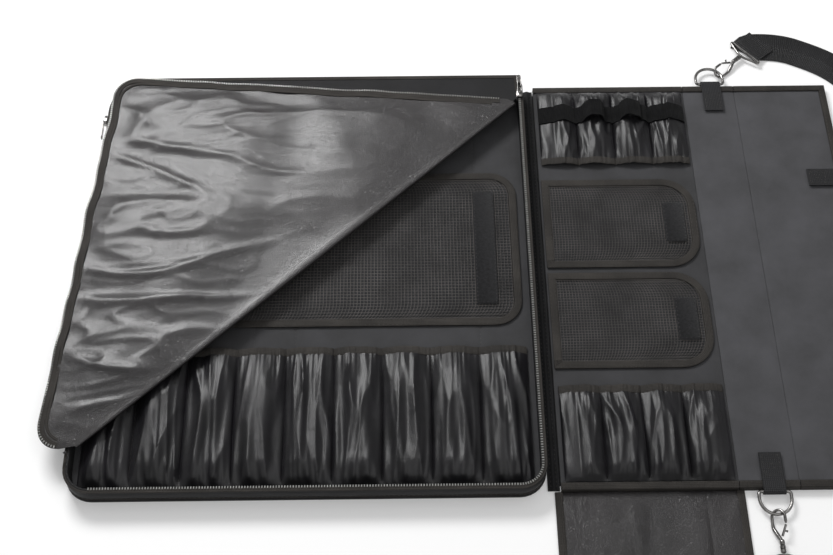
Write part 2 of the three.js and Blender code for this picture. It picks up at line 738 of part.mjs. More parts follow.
function addMiddlePanel() {
  addPanel("middle", MIDDLE_X, SPINE_X, false);
  const x0 = MIDDLE_X + 4;
  const x1 = SPINE_X - 3;
  const edge = HALF_P - BINDING_WIDTH - 2 * SEAM_GAP;
  const count = PANEL_POCKET_COUNT;
  const height = PANEL_POCKET_HEIGHT;
  const mouth = edge - PANEL_POCKET_LENGTH;
  addPiece("tool_pocket_row", pocketRow(x0, x1, edge, mouth, count, height), NYLON, 0.5);
  const rim = pocketBinding(x0, x1, mouth, -1, count, height);
  addPiece("tool_pocket_binding", rim, BINDING, 0.9);
  addPiece("elastic_band", elasticBand(x0, x1, edge), ELASTIC, 1);
  const frontRow = pocketRow(x0, x1, -edge, -mouth, count, height);
  addPiece("front_pocket_row", frontRow, NYLON, 0.5);
  const frontRim = pocketBinding(x0, x1, -mouth, 1, count, height);
  addPiece("front_pocket_binding", frontRim, BINDING, 0.9);
  const flapX = MIDDLE_X + 2;
  const width = SMALL_FLAP_WIDTH;
  const depth = SMALL_FLAP_DEPTH;
  const corner = SMALL_FLAP_CORNER;
  const low = -depth - SMALL_FLAP_SPACING / 2;
  addMeshFlap("back_flap", flapX, low + depth + SMALL_FLAP_SPACING, width, depth, corner, 5, 3, 13);
  addMeshFlap("front_flap", flapX, low, width, depth, corner, 5, 3, 13);
}

// The vinyl guard flap hangs from the middle panel's front edge and folds up over the pockets.
function addGuardFlap() {
  const middle = (MIDDLE_X + SPINE_X) / 2;
  const top = -HALF_P - SEAM_GAP - BINDING_THICKNESS - SEAM_GAP;
  const x0 = middle - GUARD_WIDTH / 2;
  const x1 = middle + GUARD_WIDTH / 2;
  const front = top - GUARD_LENGTH;
  addPiece("guard_sheet", plate(rectangle(x0, front, x1, top), 0, GUARD_THICKNESS), VINYL, 0.35);
  const plan = (d) => [
    [x0 + d, top],
    [x0 + d, front + d],
    [x1 - d, front + d],
    [x1 - d, top],
  ];
  addPiece("guard_binding", boundEdge(plan, GUARD_THICKNESS), BINDING, 0.9);
}

// The hardware at each end of the spine panel is made along +Y from the panel's middle line.
const RING_X = SPINE_X + RING_OFFSET;
const TAB_BOTTOM = BINDING_TOP + SEAM_GAP;
const TAB_TOP = TAB_BOTTOM + TAB_THICKNESS;
const TAB_LOOP = RING_WIRE + RING_BAR_CLEARANCE + 1;
const BAR_Y = HALF_P + SEAM_GAP + BINDING_THICKNESS + SEAM_GAP + TAB_LOOP;
const BAR_Z = TAB_TOP - TAB_LOOP;
const HOOK_BASE = RING_BOW + HOOK_JAW - RING_WIRE - HOOK_JAW_CLEARANCE;

// A webbing tab, sewn down on the panel and turned round the ring's bar at its end.
function tabGeometry() {
  const inner = BAR_Y - TAB_LENGTH;
  const start = Math.PI - Math.asin((TAB_BOTTOM - BAR_Z) / TAB_LOOP);
  const shape = new THREE.Shape();
  shape.moveTo(inner, TAB_BOTTOM);
  shape.absarc(BAR_Y, BAR_Z, TAB_LOOP, start, 2.5 * Math.PI);
  shape.lineTo(inner, TAB_TOP);
  shape.closePath();
  const hole = new THREE.Path();
  hole.absarc(BAR_Y, BAR_Z, RING_WIRE + RING_BAR_CLEARANCE, 0, 2 * Math.PI, true);
  shape.holes.push(hole);
  const settings = { depth: TAB_WIDTH, bevelEnabled: false, curveSegments: 14 };
  const turn = new THREE.Matrix4().makeBasis(
    new THREE.Vector3(0, 1, 0),
    new THREE.Vector3(0, 0, 1),
    new THREE.Vector3(1, 0, 0),
  );
  const made = new THREE.ExtrudeGeometry(shape, settings);
  return made.applyMatrix4(turn).translate(-TAB_WIDTH / 2, 0, 0);
}

function ringGeometry() {
  const bend = 3;
  const path = new THREE.Path();
  path.moveTo(-RING_BOW + bend, 0);
  path.lineTo(RING_BOW - bend, 0);
  path.absarc(RING_BOW - bend, bend, bend, -Math.PI / 2, 0);
  path.lineTo(RING_BOW, RING_STRAIGHT);
  path.absarc(0, RING_STRAIGHT, RING_BOW, 0, Math.PI);
  path.lineTo(-RING_BOW, bend);
  path.absarc(-RING_BOW + bend, bend, bend, Math.PI, 1.5 * Math.PI);
  const points = path.getSpacedPoints(36).slice(0, -1);
  return wire(points.map((p) => new THREE.Vector3(p.x, p.y, 0)), RING_WIRE, true);
}

// The snap hook: a swivel collar, the shank, and the jaw round the ring's wire.
function hookGeometry() {
  const side = HOOK_JAW + HOOK_WIRE;
  const collarEnd = HOOK_LENGTH - 7;
  const points = [
    new THREE.Vector3(0, HOOK_LENGTH, 0),
    new THREE.Vector3(0, collarEnd, 0),
    new THREE.Vector3(0, collarEnd - 0.5, 0),
    new THREE.Vector3(0.1 * side, HOOK_LENGTH - 12, 0),
    new THREE.Vector3(0.63 * side, HOOK_LENGTH - 19, 0),
    new THREE.Vector3(side, HOOK_LENGTH - 25, 0),
  ];
  const bends = 8;
  for (let i = 0; i <= bends; i++) {
    const turn = (Math.PI * i) / bends;
    points.push(new THREE.Vector3(side * Math.cos(turn), -side * Math.sin(turn), 0));
  }
  points.push(new THREE.Vector3(-side, HOOK_LENGTH - 27, 0));
  return wire(points, (i) => (i < 2 ? HOOK_COLLAR : HOOK_WIRE), false);
}

const GATE_ROOT = new THREE.Vector3(-1.3, HOOK_LENGTH - 15.5, 0);
const GATE_TIP = new THREE.Vector3(-HOOK_JAW - HOOK_WIRE, HOOK_LENGTH - 26, 0);

// The strap eye: a flat wire frame that swivels on the hook's collar.
function eyeGeometry() {
  const near = HOOK_LENGTH + HOOK_WIRE + EYE_GAP;
  const far = near + EYE_LENGTH;
  const narrow = 4;
  const wide = STRAP_WIDTH / 2 + 1;
  const corners = [
    [-narrow, near],
    [narrow, near],
    [wide, far - 2],
    [wide, far],
    [-wide, far],
    [-wide, far - 2],
  ];
  const path = new THREE.Path(corners.map(([x, y]) => new THREE.Vector2(x, y)));
  path.closePath();
  const points = path.getSpacedPoints(40).slice(0, -1);
  return wire(points.map((p) => new THREE.Vector3(p.x, p.y, 0)), HOOK_WIRE, true, 6);
}

function addSpineHardware(name, turn, yaw) {
  const end = new THREE.Group();
  end.position.x = RING_X;
  end.rotation.z = turn;
  root.add(end);
  addPiece(name + "_tab", tabGeometry(), WEBBING, 0.9, 0, end);
  const tilted = new THREE.Group();
  tilted.position.set(0, BAR_Y, BAR_Z);
  tilted.rotation.x = -radians(RING_TILT);
  end.add(tilted);
  addPiece(name + "_ring", ringGeometry(), NICKEL, 0.3, 1, tilted);
  const swung = new THREE.Group();
  swung.position.y = RING_STRAIGHT;
  swung.rotation.z = radians(yaw);
  tilted.add(swung);
  const reach = new THREE.Group();
  reach.position.y = HOOK_BASE;
  swung.add(reach);
  addPiece(name + "_eye", eyeGeometry(), NICKEL, 0.3, 1, reach);
  const rolled = new THREE.Group();
  rolled.name = name + "_roll";
  rolled.rotation.y = radians(HOOK_ROLL);
  reach.add(rolled);
  addPiece(name + "_hook", hookGeometry(), NICKEL, 0.3, 1, rolled);
  addPiece(name + "_gate", wire([GATE_ROOT, GATE_TIP], GATE_WIRE, false), NICKEL, 0.3, 1, rolled);
}

// The plan point at a distance out from a ring's bow centre, along its hook.
function alongHook(side, yaw, distance) {
  const angle = radians(yaw) + (side < 0 ? Math.PI : 0);
  const centreY = side * (BAR_Y + RING_STRAIGHT);
  return new THREE.Vector2(RING_X - distance * Math.sin(angle), centreY + distance * Math.cos(angle));
}

// The shoulder strap lies flat on the surface and runs round the outer flap from eye to eye.
function addStrap() {
  const eyeEnd = HOOK_BASE + HOOK_LENGTH + 2 * HOOK_WIRE + 2.5 * EYE_GAP + EYE_LENGTH;
  const right = FLAP_X + FLAP_WIDTH + 78;
  const points = [
    alongHook(1, BACK_HOOK_YAW, eyeEnd),
    alongHook(1, BACK_HOOK_YAW, eyeEnd + 14),
    new THREE.Vector2(right - 100, 288),
    new THREE.Vector2(right - 45, 248),
    new THREE.Vector2(right - 12, 160),
    new THREE.Vector2(right, 40),
    new THREE.Vector2(right, -90),
    new THREE.Vector2(right - 16, -215),
    new THREE.Vector2(right - 58, -310),
    new THREE.Vector2(right - 118, -366),
    new THREE.Vector2(RING_X + 26, -376),
    alongHook(-1, FRONT_HOOK_YAW, eyeEnd + 20),
    alongHook(-1, FRONT_HOOK_YAW, eyeEnd),
  ];
  const half = () => STRAP_WIDTH / 2;
  const strap = ribbon(new THREE.SplineCurve(points), 56, half, half, 0, STRAP_THICKNESS);
  addPiece("shoulder_strap", strap, WEBBING, 0.6);
}

function addOuterFlap() {
  addPanel("outer", FLAP_X, FLAP_X + FLAP_WIDTH, true);
  const x1 = FLAP_X + FLAP_WIDTH + OUTER_TAB_OVERHANG;
  const half = TAB_WIDTH / 2;
  for (const [name, y] of [
    ["closing_tab_back", OUTER_TAB_OFFSET],
    ["closing_tab_front", -OUTER_TAB_OFFSET],
  ]) {
    const shape = rectangle(x1 - OUTER_TAB_LENGTH, y - half, x1, y + half, [0, 3, 3, 0]);
    addPiece(name, plate(shape, TAB_BOTTOM, TAB_TOP), WEBBING, 0.9);
  }
}

addTray();
addTrayPockets();
addLargeFlap();
addSewnCover();
addCoverCorner();
addZipSliders();
addSideZip();
addMiddlePanel();
addGuardFlap();
addPanel("spine", SPINE_X, FLAP_X, false);
addSpineHardware("back", 0, BACK_HOOK_YAW);
addSpineHardware("front", Math.PI, FRONT_HOOK_YAW);
addStrap();
addOuterFlap();

export default root;
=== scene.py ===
import math
import bmesh
import bpy
import numpy as np
from mathutils import Matrix, Vector, noise


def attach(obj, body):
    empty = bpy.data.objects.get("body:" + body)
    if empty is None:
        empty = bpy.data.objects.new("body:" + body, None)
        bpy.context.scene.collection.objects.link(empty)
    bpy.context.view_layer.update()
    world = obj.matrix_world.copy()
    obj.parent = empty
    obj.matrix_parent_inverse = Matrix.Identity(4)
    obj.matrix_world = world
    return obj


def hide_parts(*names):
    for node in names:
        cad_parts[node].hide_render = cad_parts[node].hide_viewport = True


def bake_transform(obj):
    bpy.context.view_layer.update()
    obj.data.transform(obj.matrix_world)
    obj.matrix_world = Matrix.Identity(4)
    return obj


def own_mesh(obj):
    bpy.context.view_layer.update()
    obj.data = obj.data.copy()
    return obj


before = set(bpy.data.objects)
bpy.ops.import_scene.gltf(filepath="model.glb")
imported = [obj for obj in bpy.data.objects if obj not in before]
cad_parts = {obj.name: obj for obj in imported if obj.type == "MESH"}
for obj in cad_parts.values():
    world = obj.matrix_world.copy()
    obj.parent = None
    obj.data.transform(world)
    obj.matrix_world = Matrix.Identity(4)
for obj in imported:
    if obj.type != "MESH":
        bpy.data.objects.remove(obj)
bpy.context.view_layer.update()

# The photograph was taken from 60 degrees above the surface the case lies on, near enough for its
# right edge to cut off the outer flap and the shoulder strap.
camera_data = bpy.data.cameras.new("camera")
camera_data.sensor_width = 36
camera_data.lens = 55.62
camera = bpy.data.objects.new("camera", camera_data)
camera.location = (0.0975, -0.66, 1.14)
camera.rotation_euler = (math.radians(30), 0, math.radians(-0.7))
bpy.context.collection.objects.link(camera)
bpy.context.scene.camera = camera
bpy.context.scene.view_settings.view_transform = "Standard"


# The light is a small bright softbox behind the case on the left, which the vinyl and the nylon
# folds reflect, two wide weak ones above and in front, and even pale surroundings.
def softbox(name, place, width, height, power):
    lamp = bpy.data.lights.new(name, "AREA")
    lamp.shape = "RECTANGLE"
    lamp.size = width
    lamp.size_y = height
    lamp.energy = power
    made = bpy.data.objects.new(name, lamp)
    made.location = place
    made.rotation_euler = (-Vector(place)).to_track_quat("-Z", "Y").to_euler()
    bpy.context.collection.objects.link(made)


softbox("softbox_back", (-0.5, 1.05, 1.3), 0.8, 0.5, 27)
softbox("softbox_top", (0.3, 0.5, 1.9), 1.6, 1.0, 4)
softbox("softbox_front", (0.7, -0.9, 1.8), 2.0, 1.4, 7)


def node(tree, kind, settings=None, **inputs):
    made = tree.nodes.new("ShaderNode" + kind)
    for name, value in (settings or {}).items():
        setattr(made, name, value)
    for name, value in inputs.items():
        socket = made.inputs[int(name[1:])] if name[1:].isdigit() else made.inputs[name.replace("_", " ")]
        if isinstance(value, bpy.types.NodeSocket):
            tree.links.new(value, socket)
        else:
            socket.default_value = value
    return made


def seen_ray(tree):
    """1 for rays from the camera, so that the page is white and the reflections stay dark."""
    return node(tree, "LightPath").outputs["Is Camera Ray"]


# The surroundings are white to the camera and dimmer as a light. The floor takes the shadow near
# the case and glows evenly further away.
FLOOR_REACH = 60
world = bpy.data.worlds.new("studio")
bpy.context.scene.world = world
world.use_nodes = True
world.node_tree.nodes.clear()
strength = node(world.node_tree, "MapRange", i0=seen_ray(world.node_tree), To_Min=0.38, To_Max=1.0)
sky = node(world.node_tree, "Background", Color=(0.97, 0.97, 0.97, 1), Strength=strength.outputs[0])
node(world.node_tree, "OutputWorld", Surface=sky.outputs[0])

floor_material = bpy.data.materials.new("floor")
floor_material.use_nodes = True
floor_tree = floor_material.node_tree
floor_tree.nodes.clear()
floor_matt = node(floor_tree, "BsdfDiffuse", Color=(0.94, 0.94, 0.94, 1))
floor_glow = node(floor_tree, "Emission", Color=(1, 1, 1, 1), Strength=1.15)
floor_place = node(floor_tree, "TexCoord").outputs["Object"]
floor_away = node(floor_tree, "VectorMath", {"operation": "LENGTH"}, i0=floor_place).outputs["Value"]
floor_part = node(floor_tree, "MapRange", i0=floor_away, From_Min=1.0, From_Max=2.4, To_Min=0.15)
floor_share = node(floor_tree, "Math", {"operation": "MULTIPLY"}, i0=seen_ray(floor_tree),
                   i1=floor_part.outputs[0])
floor_mix = node(floor_tree, "MixShader", Fac=floor_share.outputs[0])
floor_tree.links.new(floor_matt.outputs[0], floor_mix.inputs[1])
floor_tree.links.new(floor_glow.outputs[0], floor_mix.inputs[2])
node(floor_tree, "OutputMaterial", Surface=floor_mix.outputs[0])
floor_mesh = bpy.data.meshes.new("floor")
floor_corners = [(x * FLOOR_REACH, y * FLOOR_REACH, 0) for x, y in ((-1, -1), (1, -1), (1, 1), (-1, 1))]
floor_mesh.from_pydata(floor_corners, [], [(0, 1, 2, 3)])
floor = bpy.data.objects.new("floor", floor_mesh)
floor.location.z = -0.0004
floor_mesh.materials.append(floor_material)
bpy.context.collection.objects.link(floor)


# The case is sewn from dark cloths that differ in weave and shine. Each cloth's threads are made
# by two crossed waves, with slow changes of tone over the surface. Lengths are in millimetres.
def linear(*rgb):
    return tuple(((c / 255 + 0.055) / 1.055) ** 2.4 if c > 10 else c / 3295 for c in rgb) + (1,)


def shader(name, roughness, specular, dark, light, size, coordinates="Object", **sockets):
    """A material whose colour drifts between two tones over about size millimetres."""
    made = bpy.data.materials.new(name)
    made.use_nodes = True
    tree = made.node_tree
    bsdf = tree.nodes["Principled BSDF"]
    bsdf.inputs["Roughness"].default_value = roughness
    bsdf.inputs["Specular IOR Level"].default_value = specular
    for socket, value in sockets.items():
        bsdf.inputs[socket.replace("_", " ")].default_value = value
    coords = node(tree, "TexCoord").outputs[coordinates]
    clouds = node(tree, "TexNoise", Vector=coords, Scale=1000 / size, Detail=4.0, Roughness=0.6)
    ramp = node(tree, "ValToRGB", Fac=clouds.outputs["Fac"])
    for k, (place, colour) in enumerate(((0.3, dark), (0.7, light))):
        ramp.color_ramp.elements[k].position = place
        ramp.color_ramp.elements[k].color = linear(*colour)
    tree.links.new(ramp.outputs[0], bsdf.inputs["Base Color"])
    return made, tree, bsdf, coords


def threads(tree, coords, pitch, direction, distortion=0.6):
    return node(tree, "TexWave", {"bands_direction": direction}, Vector=coords, Scale=314.2 / pitch,
                Distortion=distortion, Detail=1.0, Detail_Scale=2.0).outputs["Fac"]


def weave(tree, coords, pitch, distortion=0.6):
    warp, weft = [threads(tree, coords, pitch, direction, distortion) for direction in "XY"]
    return node(tree, "Math", {"operation": "MULTIPLY"}, i0=warp, i1=weft).outputs[0]


def bump(tree, bsdf, height, depth, below=None):
    made = node(tree, "Bump", Height=height, Strength=1.0, Distance=depth / 1000)
    if below:
        tree.links.new(below, made.inputs["Normal"])
    tree.links.new(made.outputs[0], bsdf.inputs["Normal"])
    return made.outputs[0]


def uneven_gloss(tree, bsdf, coords, scale, detail, low, high):
    patches = node(tree, "TexNoise", Vector=coords, Scale=scale, Detail=detail)
    gloss = node(tree, "MapRange", i0=patches.outputs["Fac"], To_Min=low, To_Max=high)
    tree.links.new(gloss.outputs[0], bsdf.inputs["Roughness"])


def cloth(name, dark, light, pitch, depth, roughness, specular, coordinates="Object", **sockets):
    made, tree, bsdf, coords = shader(name, roughness, specular, dark, light, 40, coordinates, **sockets)
    slow = node(tree, "TexNoise", Vector=coords, Scale=60.0, Detail=3.0)
    first = bump(tree, bsdf, slow.outputs["Fac"], 0.5)
    bump(tree, bsdf, weave(tree, coords, pitch), depth, first)
    return made


LINING = cloth("lining_cloth", (54, 54, 55), (64, 64, 66), 0.9, 0.12, 0.8, 0.15, Sheen_Weight=0.06)
FLAP_LINING = cloth("flap_lining_cloth", (62, 62, 64), (74, 74, 77), 0.9, 0.1, 0.75, 0.25, Sheen_Weight=0.12)
SHELL = cloth("shell_nylon", (17, 17, 18), (26, 26, 28), 1.0, 0.15, 0.6, 0.2, Sheen_Weight=0.05)
BINDING = cloth("woven_binding", (40, 38, 36), (58, 55, 52), 1.5, 0.4, 0.75, 0.25, "UV")
WEBBING = cloth("webbing", (22, 22, 24), (36, 36, 38), 1.8, 0.5, 0.6, 0.35, "UV")
THREAD = cloth("sewing_thread", (60, 58, 56), (84, 82, 80), 0.6, 0.1, 0.6, 0.3)


# Sheets, tapes and seams are meshes made from rows of points. A sheet is an upper and a lower
# surface closed into one solid, a sweep carries a section along a line, and a pad stacks outlines.
def put(name, points, faces, materials, body, replaces=(), uv=None, choice=None, sharp=50):
    mesh = bpy.data.meshes.new(name)
    mesh.from_pydata((np.asarray(points, float) / 1000).tolist(), [], faces)
    for material in materials:
        mesh.materials.append(material)
    if choice is not None:
        mesh.polygons.foreach_set("material_index", choice)
    if uv is not None:
        layer = mesh.uv_layers.new(name="UVMap")
        index = np.zeros(len(mesh.loops), int)
        mesh.loops.foreach_get("vertex_index", index)
        layer.data.foreach_set("uv", (np.asarray(uv, float)[index] / 1000).ravel())
    turned = bmesh.new()
    turned.from_mesh(mesh)
    bmesh.ops.recalc_face_normals(turned, faces=turned.faces)
    turned.to_mesh(mesh)
    turned.free()
    mesh.polygons.foreach_set("use_smooth", [True] * len(mesh.polygons))
    mesh.set_sharp_from_angle(angle=math.radians(sharp))
    made = bpy.data.objects.new(name, mesh)
    bpy.context.collection.objects.link(made)
    if body:
        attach(made, body)
    if replaces:
        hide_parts(*replaces)
    return made


def surface(x, y, z):
    return np.stack([x, y, z], axis=-1)


def shares(columns, rows):
    """A grid of places from 0 to 1 across and along."""
    return np.meshgrid(np.linspace(0, 1, columns), np.linspace(0, 1, rows))


def unit(v):
    return v / np.linalg.norm(v, axis=-1, keepdims=True)


def run(points):
    """How far along its line each point lies."""
    return np.concatenate([[0], np.cumsum(np.linalg.norm(np.diff(points, axis=0), axis=1))])


def grid_faces(rows, columns):
    at = np.arange(rows * columns).reshape(rows, columns)
    return np.stack([at[:-1, :-1], at[:-1, 1:], at[1:, 1:], at[1:, :-1]], axis=-1).reshape(-1, 4)


def tube_faces(count, sides, closed):
    """The faces of a line of sections, joined into a ring or closed by a face at each end."""
    at = np.arange(count * sides).reshape(count, sides)
    rows = np.concatenate([at, at[:1]]) if closed else at
    right = np.roll(rows, -1, axis=1)
    faces = np.stack([rows[:-1], rows[1:], right[1:], right[:-1]], axis=-1).reshape(-1, 4).tolist()
    return faces if closed else faces + [at[0, ::-1].tolist(), at[-1].tolist()]


def put_sheet(name, upper, thickness, materials, body, replaces=(), lower=None):
    """upper is a grid of points of the upper face. The lower face lies the thickness below it."""
    rows, columns = upper.shape[:2]
    if lower is None:
        across = np.gradient(upper, axis=1)
        along = np.gradient(upper, axis=0)
        normal = np.cross(across, along)
        normal /= np.maximum(np.linalg.norm(normal, axis=2, keepdims=True), 1e-9)
        if normal[..., 2].mean() < 0:
            normal = -normal
        lower = upper - normal * thickness
    count = rows * columns
    at = np.arange(count).reshape(rows, columns)
    quads = grid_faces(rows, columns)
    rim = np.concatenate([at[0, :], at[1:, -1], at[-1, -2::-1], at[-2:0:-1, 0]])
    side = np.stack([rim, np.roll(rim, -1), np.roll(rim, -1) + count, rim + count], axis=-1)
    faces = np.concatenate([quads, quads[:, ::-1] + count, side])
    last = len(materials) - 1
    choice = [0] * len(quads) + [last] * (len(quads) + len(side))
    step = np.linalg.norm(np.diff(upper, axis=1), axis=2).mean(axis=0)
    rise = np.linalg.norm(np.diff(upper, axis=0), axis=2).mean(axis=1)
    u = np.concatenate([[0], np.cumsum(step)])
    v = np.concatenate([[0], np.cumsum(rise)])
    flat = np.stack(np.meshgrid(u, v), axis=-1).reshape(-1, 2)
    points = np.concatenate([upper.reshape(-1, 3), lower.reshape(-1, 3)])
    uv = np.concatenate([flat, flat])
    return put(name, points, faces.tolist(), materials, body, replaces, uv, choice)


def put_sweep(name, path, section, material, body, replaces=(), closed=False, sharp=50):
    """section is a closed loop of (side, up) offsets, carried along a line in a level plane."""
    path = np.asarray(path, float)
    section = np.asarray(section, float)
    if closed:
        before = path - np.roll(path, 1, axis=0)
        after = np.roll(path, -1, axis=0) - path
    else:
        steps = np.diff(path, axis=0)
        before = np.concatenate([steps[:1], steps])
        after = np.concatenate([steps, steps[-1:]])
    after = unit(after)
    along = unit(unit(before) + after)
    mitre = 1 / np.maximum((along * after).sum(axis=1), 0.5)
    side = unit(surface(along[:, 1], -along[:, 0], np.zeros(len(path))))
    up = np.cross(side, along)
    points = path[:, None] + side[:, None] * (mitre[:, None] * section[None, :, 0])[..., None]
    points = points + up[:, None] * section[None, :, 1][..., None]
    uv = np.stack(np.meshgrid(run(path), run(section), indexing="ij"), axis=-1).reshape(-1, 2)
    faces = tube_faces(len(path), len(section), closed)
    return put(name, points.reshape(-1, 3), faces, [material], body, replaces, uv, sharp=sharp)


def tape_section(width, thickness, steps=16):
    """A flattened round section, as of a woven tape."""
    turn = np.linspace(0, 2 * math.pi, steps, endpoint=False)
    c, s = np.cos(turn), np.sin(turn)
    wide = width / 2 * np.sign(c) * np.abs(c) ** 0.4
    return np.stack([wide, thickness / 2 * np.sign(s) * np.abs(s) ** 0.7], axis=1)


def outline(x0, y0, x1, y1, radii, steps=8):
    """A rectangle's outline with round corners: front left, front right, back right, back left."""
    points = []
    corners = [(x0, y0, 1, 1, 180), (x1, y0, -1, 1, 270), (x1, y1, -1, -1, 0), (x0, y1, 1, -1, 90)]
    for (x, y, right, up, start), r in zip(corners, radii):
        for k in range(steps + 1 if r > 0.5 else 1):
            a = math.radians(start + 90 * k / steps)
            points.append((x + r * (right + math.cos(a)), y + r * (up + math.sin(a))))
    return np.array(points)


def spaced(points, step, closed=False):
    """The same line with points about a step apart."""
    points = np.asarray(points, float)
    if closed:
        points = np.concatenate([points, points[:1]])
    length = run(points)
    count = max(int(length[-1] / step), 2)
    at = np.linspace(0, length[-1], count + 1)
    if closed:
        at = at[:-1]
    return np.stack([np.interp(at, length, points[:, k]) for k in range(points.shape[1])], axis=1)


def keep_corners(line, corners):
    """Moves a line's nearest point to each corner, so that the corners stay sharp."""
    for corner in corners:
        nearest = np.argmin(np.linalg.norm(line[:, :2] - corner, axis=1))
        line[nearest, :2] = corner


def level(points, z):
    points = np.asarray(points, float)[:, :2]
    return np.concatenate([points, np.full((len(points), 1), float(z))], axis=1)


def put_pad(name, rings, material, body, replaces=()):
    """A flat body with rounded edges: a stack of outlines, closed at both ends."""
    n = len(rings[0])
    points = np.concatenate(rings)
    faces = [list(range(n))[::-1], list(range((len(rings) - 1) * n, len(rings) * n))]
    for k in range(len(rings) - 1):
        for i in range(n):
            j = (i + 1) % n
            faces.append([k * n + i, k * n + j, (k + 1) * n + j, (k + 1) * n + i])
    put(name, points, faces, [material], body, replaces, sharp=40)


def put_stitches(name, path, body, length=2.6, gap=1.9, width=0.55, height=0.4, closed=False):
    """A seam: short threads lying end to end along a line, half sunk in the cloth."""
    line = spaced(path, length + gap, closed)
    ends = np.roll(line, -1, axis=0) if closed else line[1:]
    starts = line if closed else line[:-1]
    shape = np.array([(0, 0, 0), (0.5, 0.5, 0), (1, 0, 0), (0.5, -0.5, 0), (0.5, 0, 1), (0.5, 0, -0.4)])
    triangles = [(0, 1, 4), (1, 2, 4), (2, 3, 4), (3, 0, 4), (1, 0, 5), (2, 1, 5), (3, 2, 5), (0, 3, 5)]
    points, faces = [], []
    for a, b in zip(starts, ends):
        along = unit(b - a)
        side = unit(np.array([-along[1], along[0], 0]))
        first = len(points)
        for x, y, z in shape:
            points.append(a + along * length * x + side * width * y + np.array([0, 0, height * z]))
        faces += [[first + i for i in triangle] for triangle in triangles]
    put(name, points, faces, [THREAD], body)


def cross_stitches(name, x0, y0, x1, y1, z, body):
    """A sewn box with its two diagonals, at height z."""
    lines = [[(x0, y0), (x1, y0), (x1, y1), (x0, y1), (x0, y0)], [(x0, y0), (x1, y1)], [(x1, y0), (x0, y1)]]
    for k, line in enumerate(lines):
        put_stitches(f"{name}_{k}", [(x, y, z) for x, y in line], body)


def rough(x, y, size, seed=0.0):
    """Smooth random numbers from about -1 to 1 over a grid of places in millimetres."""
    places = np.stack([x / size, y / size, np.full_like(x, seed)], axis=-1).reshape(-1, 3)
    return np.array([noise.noise(Vector(p)) for p in places]).reshape(x.shape) * 1.6


# The tray's base is a board covered in nylon, with a round edge. Its gusset rim stands up from it,
# bulging and slightly creased, with a corded seam along its foot and its top.
HALF_W, HALF_D = 225.0, 240.0
TRAY_RADII = (26, 26, 13, 44)
RIM_POINTS = 448
TRAY_FOLD = 237
LINING_TOP = 6.3


def tray_outline(inset, steps=8):
    radii = [max(r - inset, 1) for r in TRAY_RADII]
    return outline(-HALF_W + inset, -HALF_D + inset, HALF_W - inset, HALF_D - inset, radii, steps)


base_edge = [(1.6, 0), (0.5, 0.4), (0.05, 1.3), (0.0, 3.4), (0.4, 4.6), (1.5, 5.0)]
put_pad("tray_base", [level(tray_outline(i), z) for i, z in base_edge], SHELL, "tray", ["tray_board"])

outer_steps = np.linspace(0, math.pi, 9)
inner_steps = np.linspace(math.pi, 0, 7)
rim_section = [(2.6 - 2.0 * math.sin(t), 13.8 - 8.5 * math.cos(t)) for t in outer_steps]
rim_section += [(4.0, 22.9)]
rim_section += [(5.4 - 1.4 * math.sin(t), 13.8 - 8.5 * math.cos(t)) for t in inner_steps]
rings = []
for k, (inset, z) in enumerate(rim_section):
    ring = level(spaced(tray_outline(inset, 16), 4, closed=True), z)
    places = np.linspace(0, len(ring), RIM_POINTS, endpoint=False)
    ring = np.stack([np.interp(places, np.arange(len(ring) + 1), np.append(ring[:, j], ring[0, j]))
                     for j in range(3)], axis=1)
    swell = math.sin(math.pi * k / 9) if k < 9 else 0
    push = rough(ring[:, 0], ring[:, 1], 26, 3 + z / 14) * 0.35 * swell
    centre = ring[:, :2] / np.maximum(np.linalg.norm(ring[:, :2], axis=1, keepdims=True), 1)
    ring[:, :2] += centre * push[:, None]
    rings.append(ring)
faces = []
for k in range(len(rings)):
    low, high = k * RIM_POINTS, (k + 1) % len(rings) * RIM_POINTS
    for i in range(RIM_POINTS):
        after = (i + 1) % RIM_POINTS
        faces.append([low + i, low + after, high + after, high + i])
put("tray_gusset", np.concatenate(rings), faces, [SHELL], "tray", ["tray_rim"])
for name, inset, z in (("foot", 1.9, 5.9), ("top", 2.0, 22.2)):
    line = level(spaced(tray_outline(inset, 16), 5, closed=True), z)
    put_sweep("tray_piping_" + name, line, tape_section(2.4, 2.2, 10), BINDING, "tray", closed=True)
put_stitches("tray_seam_top", level(tray_outline(4.3, 16), 23.0), "tray", closed=True)
put_stitches("tray_seam_foot", level(tray_outline(0.6, 16), 8.6), "tray", height=0.2, closed=True)


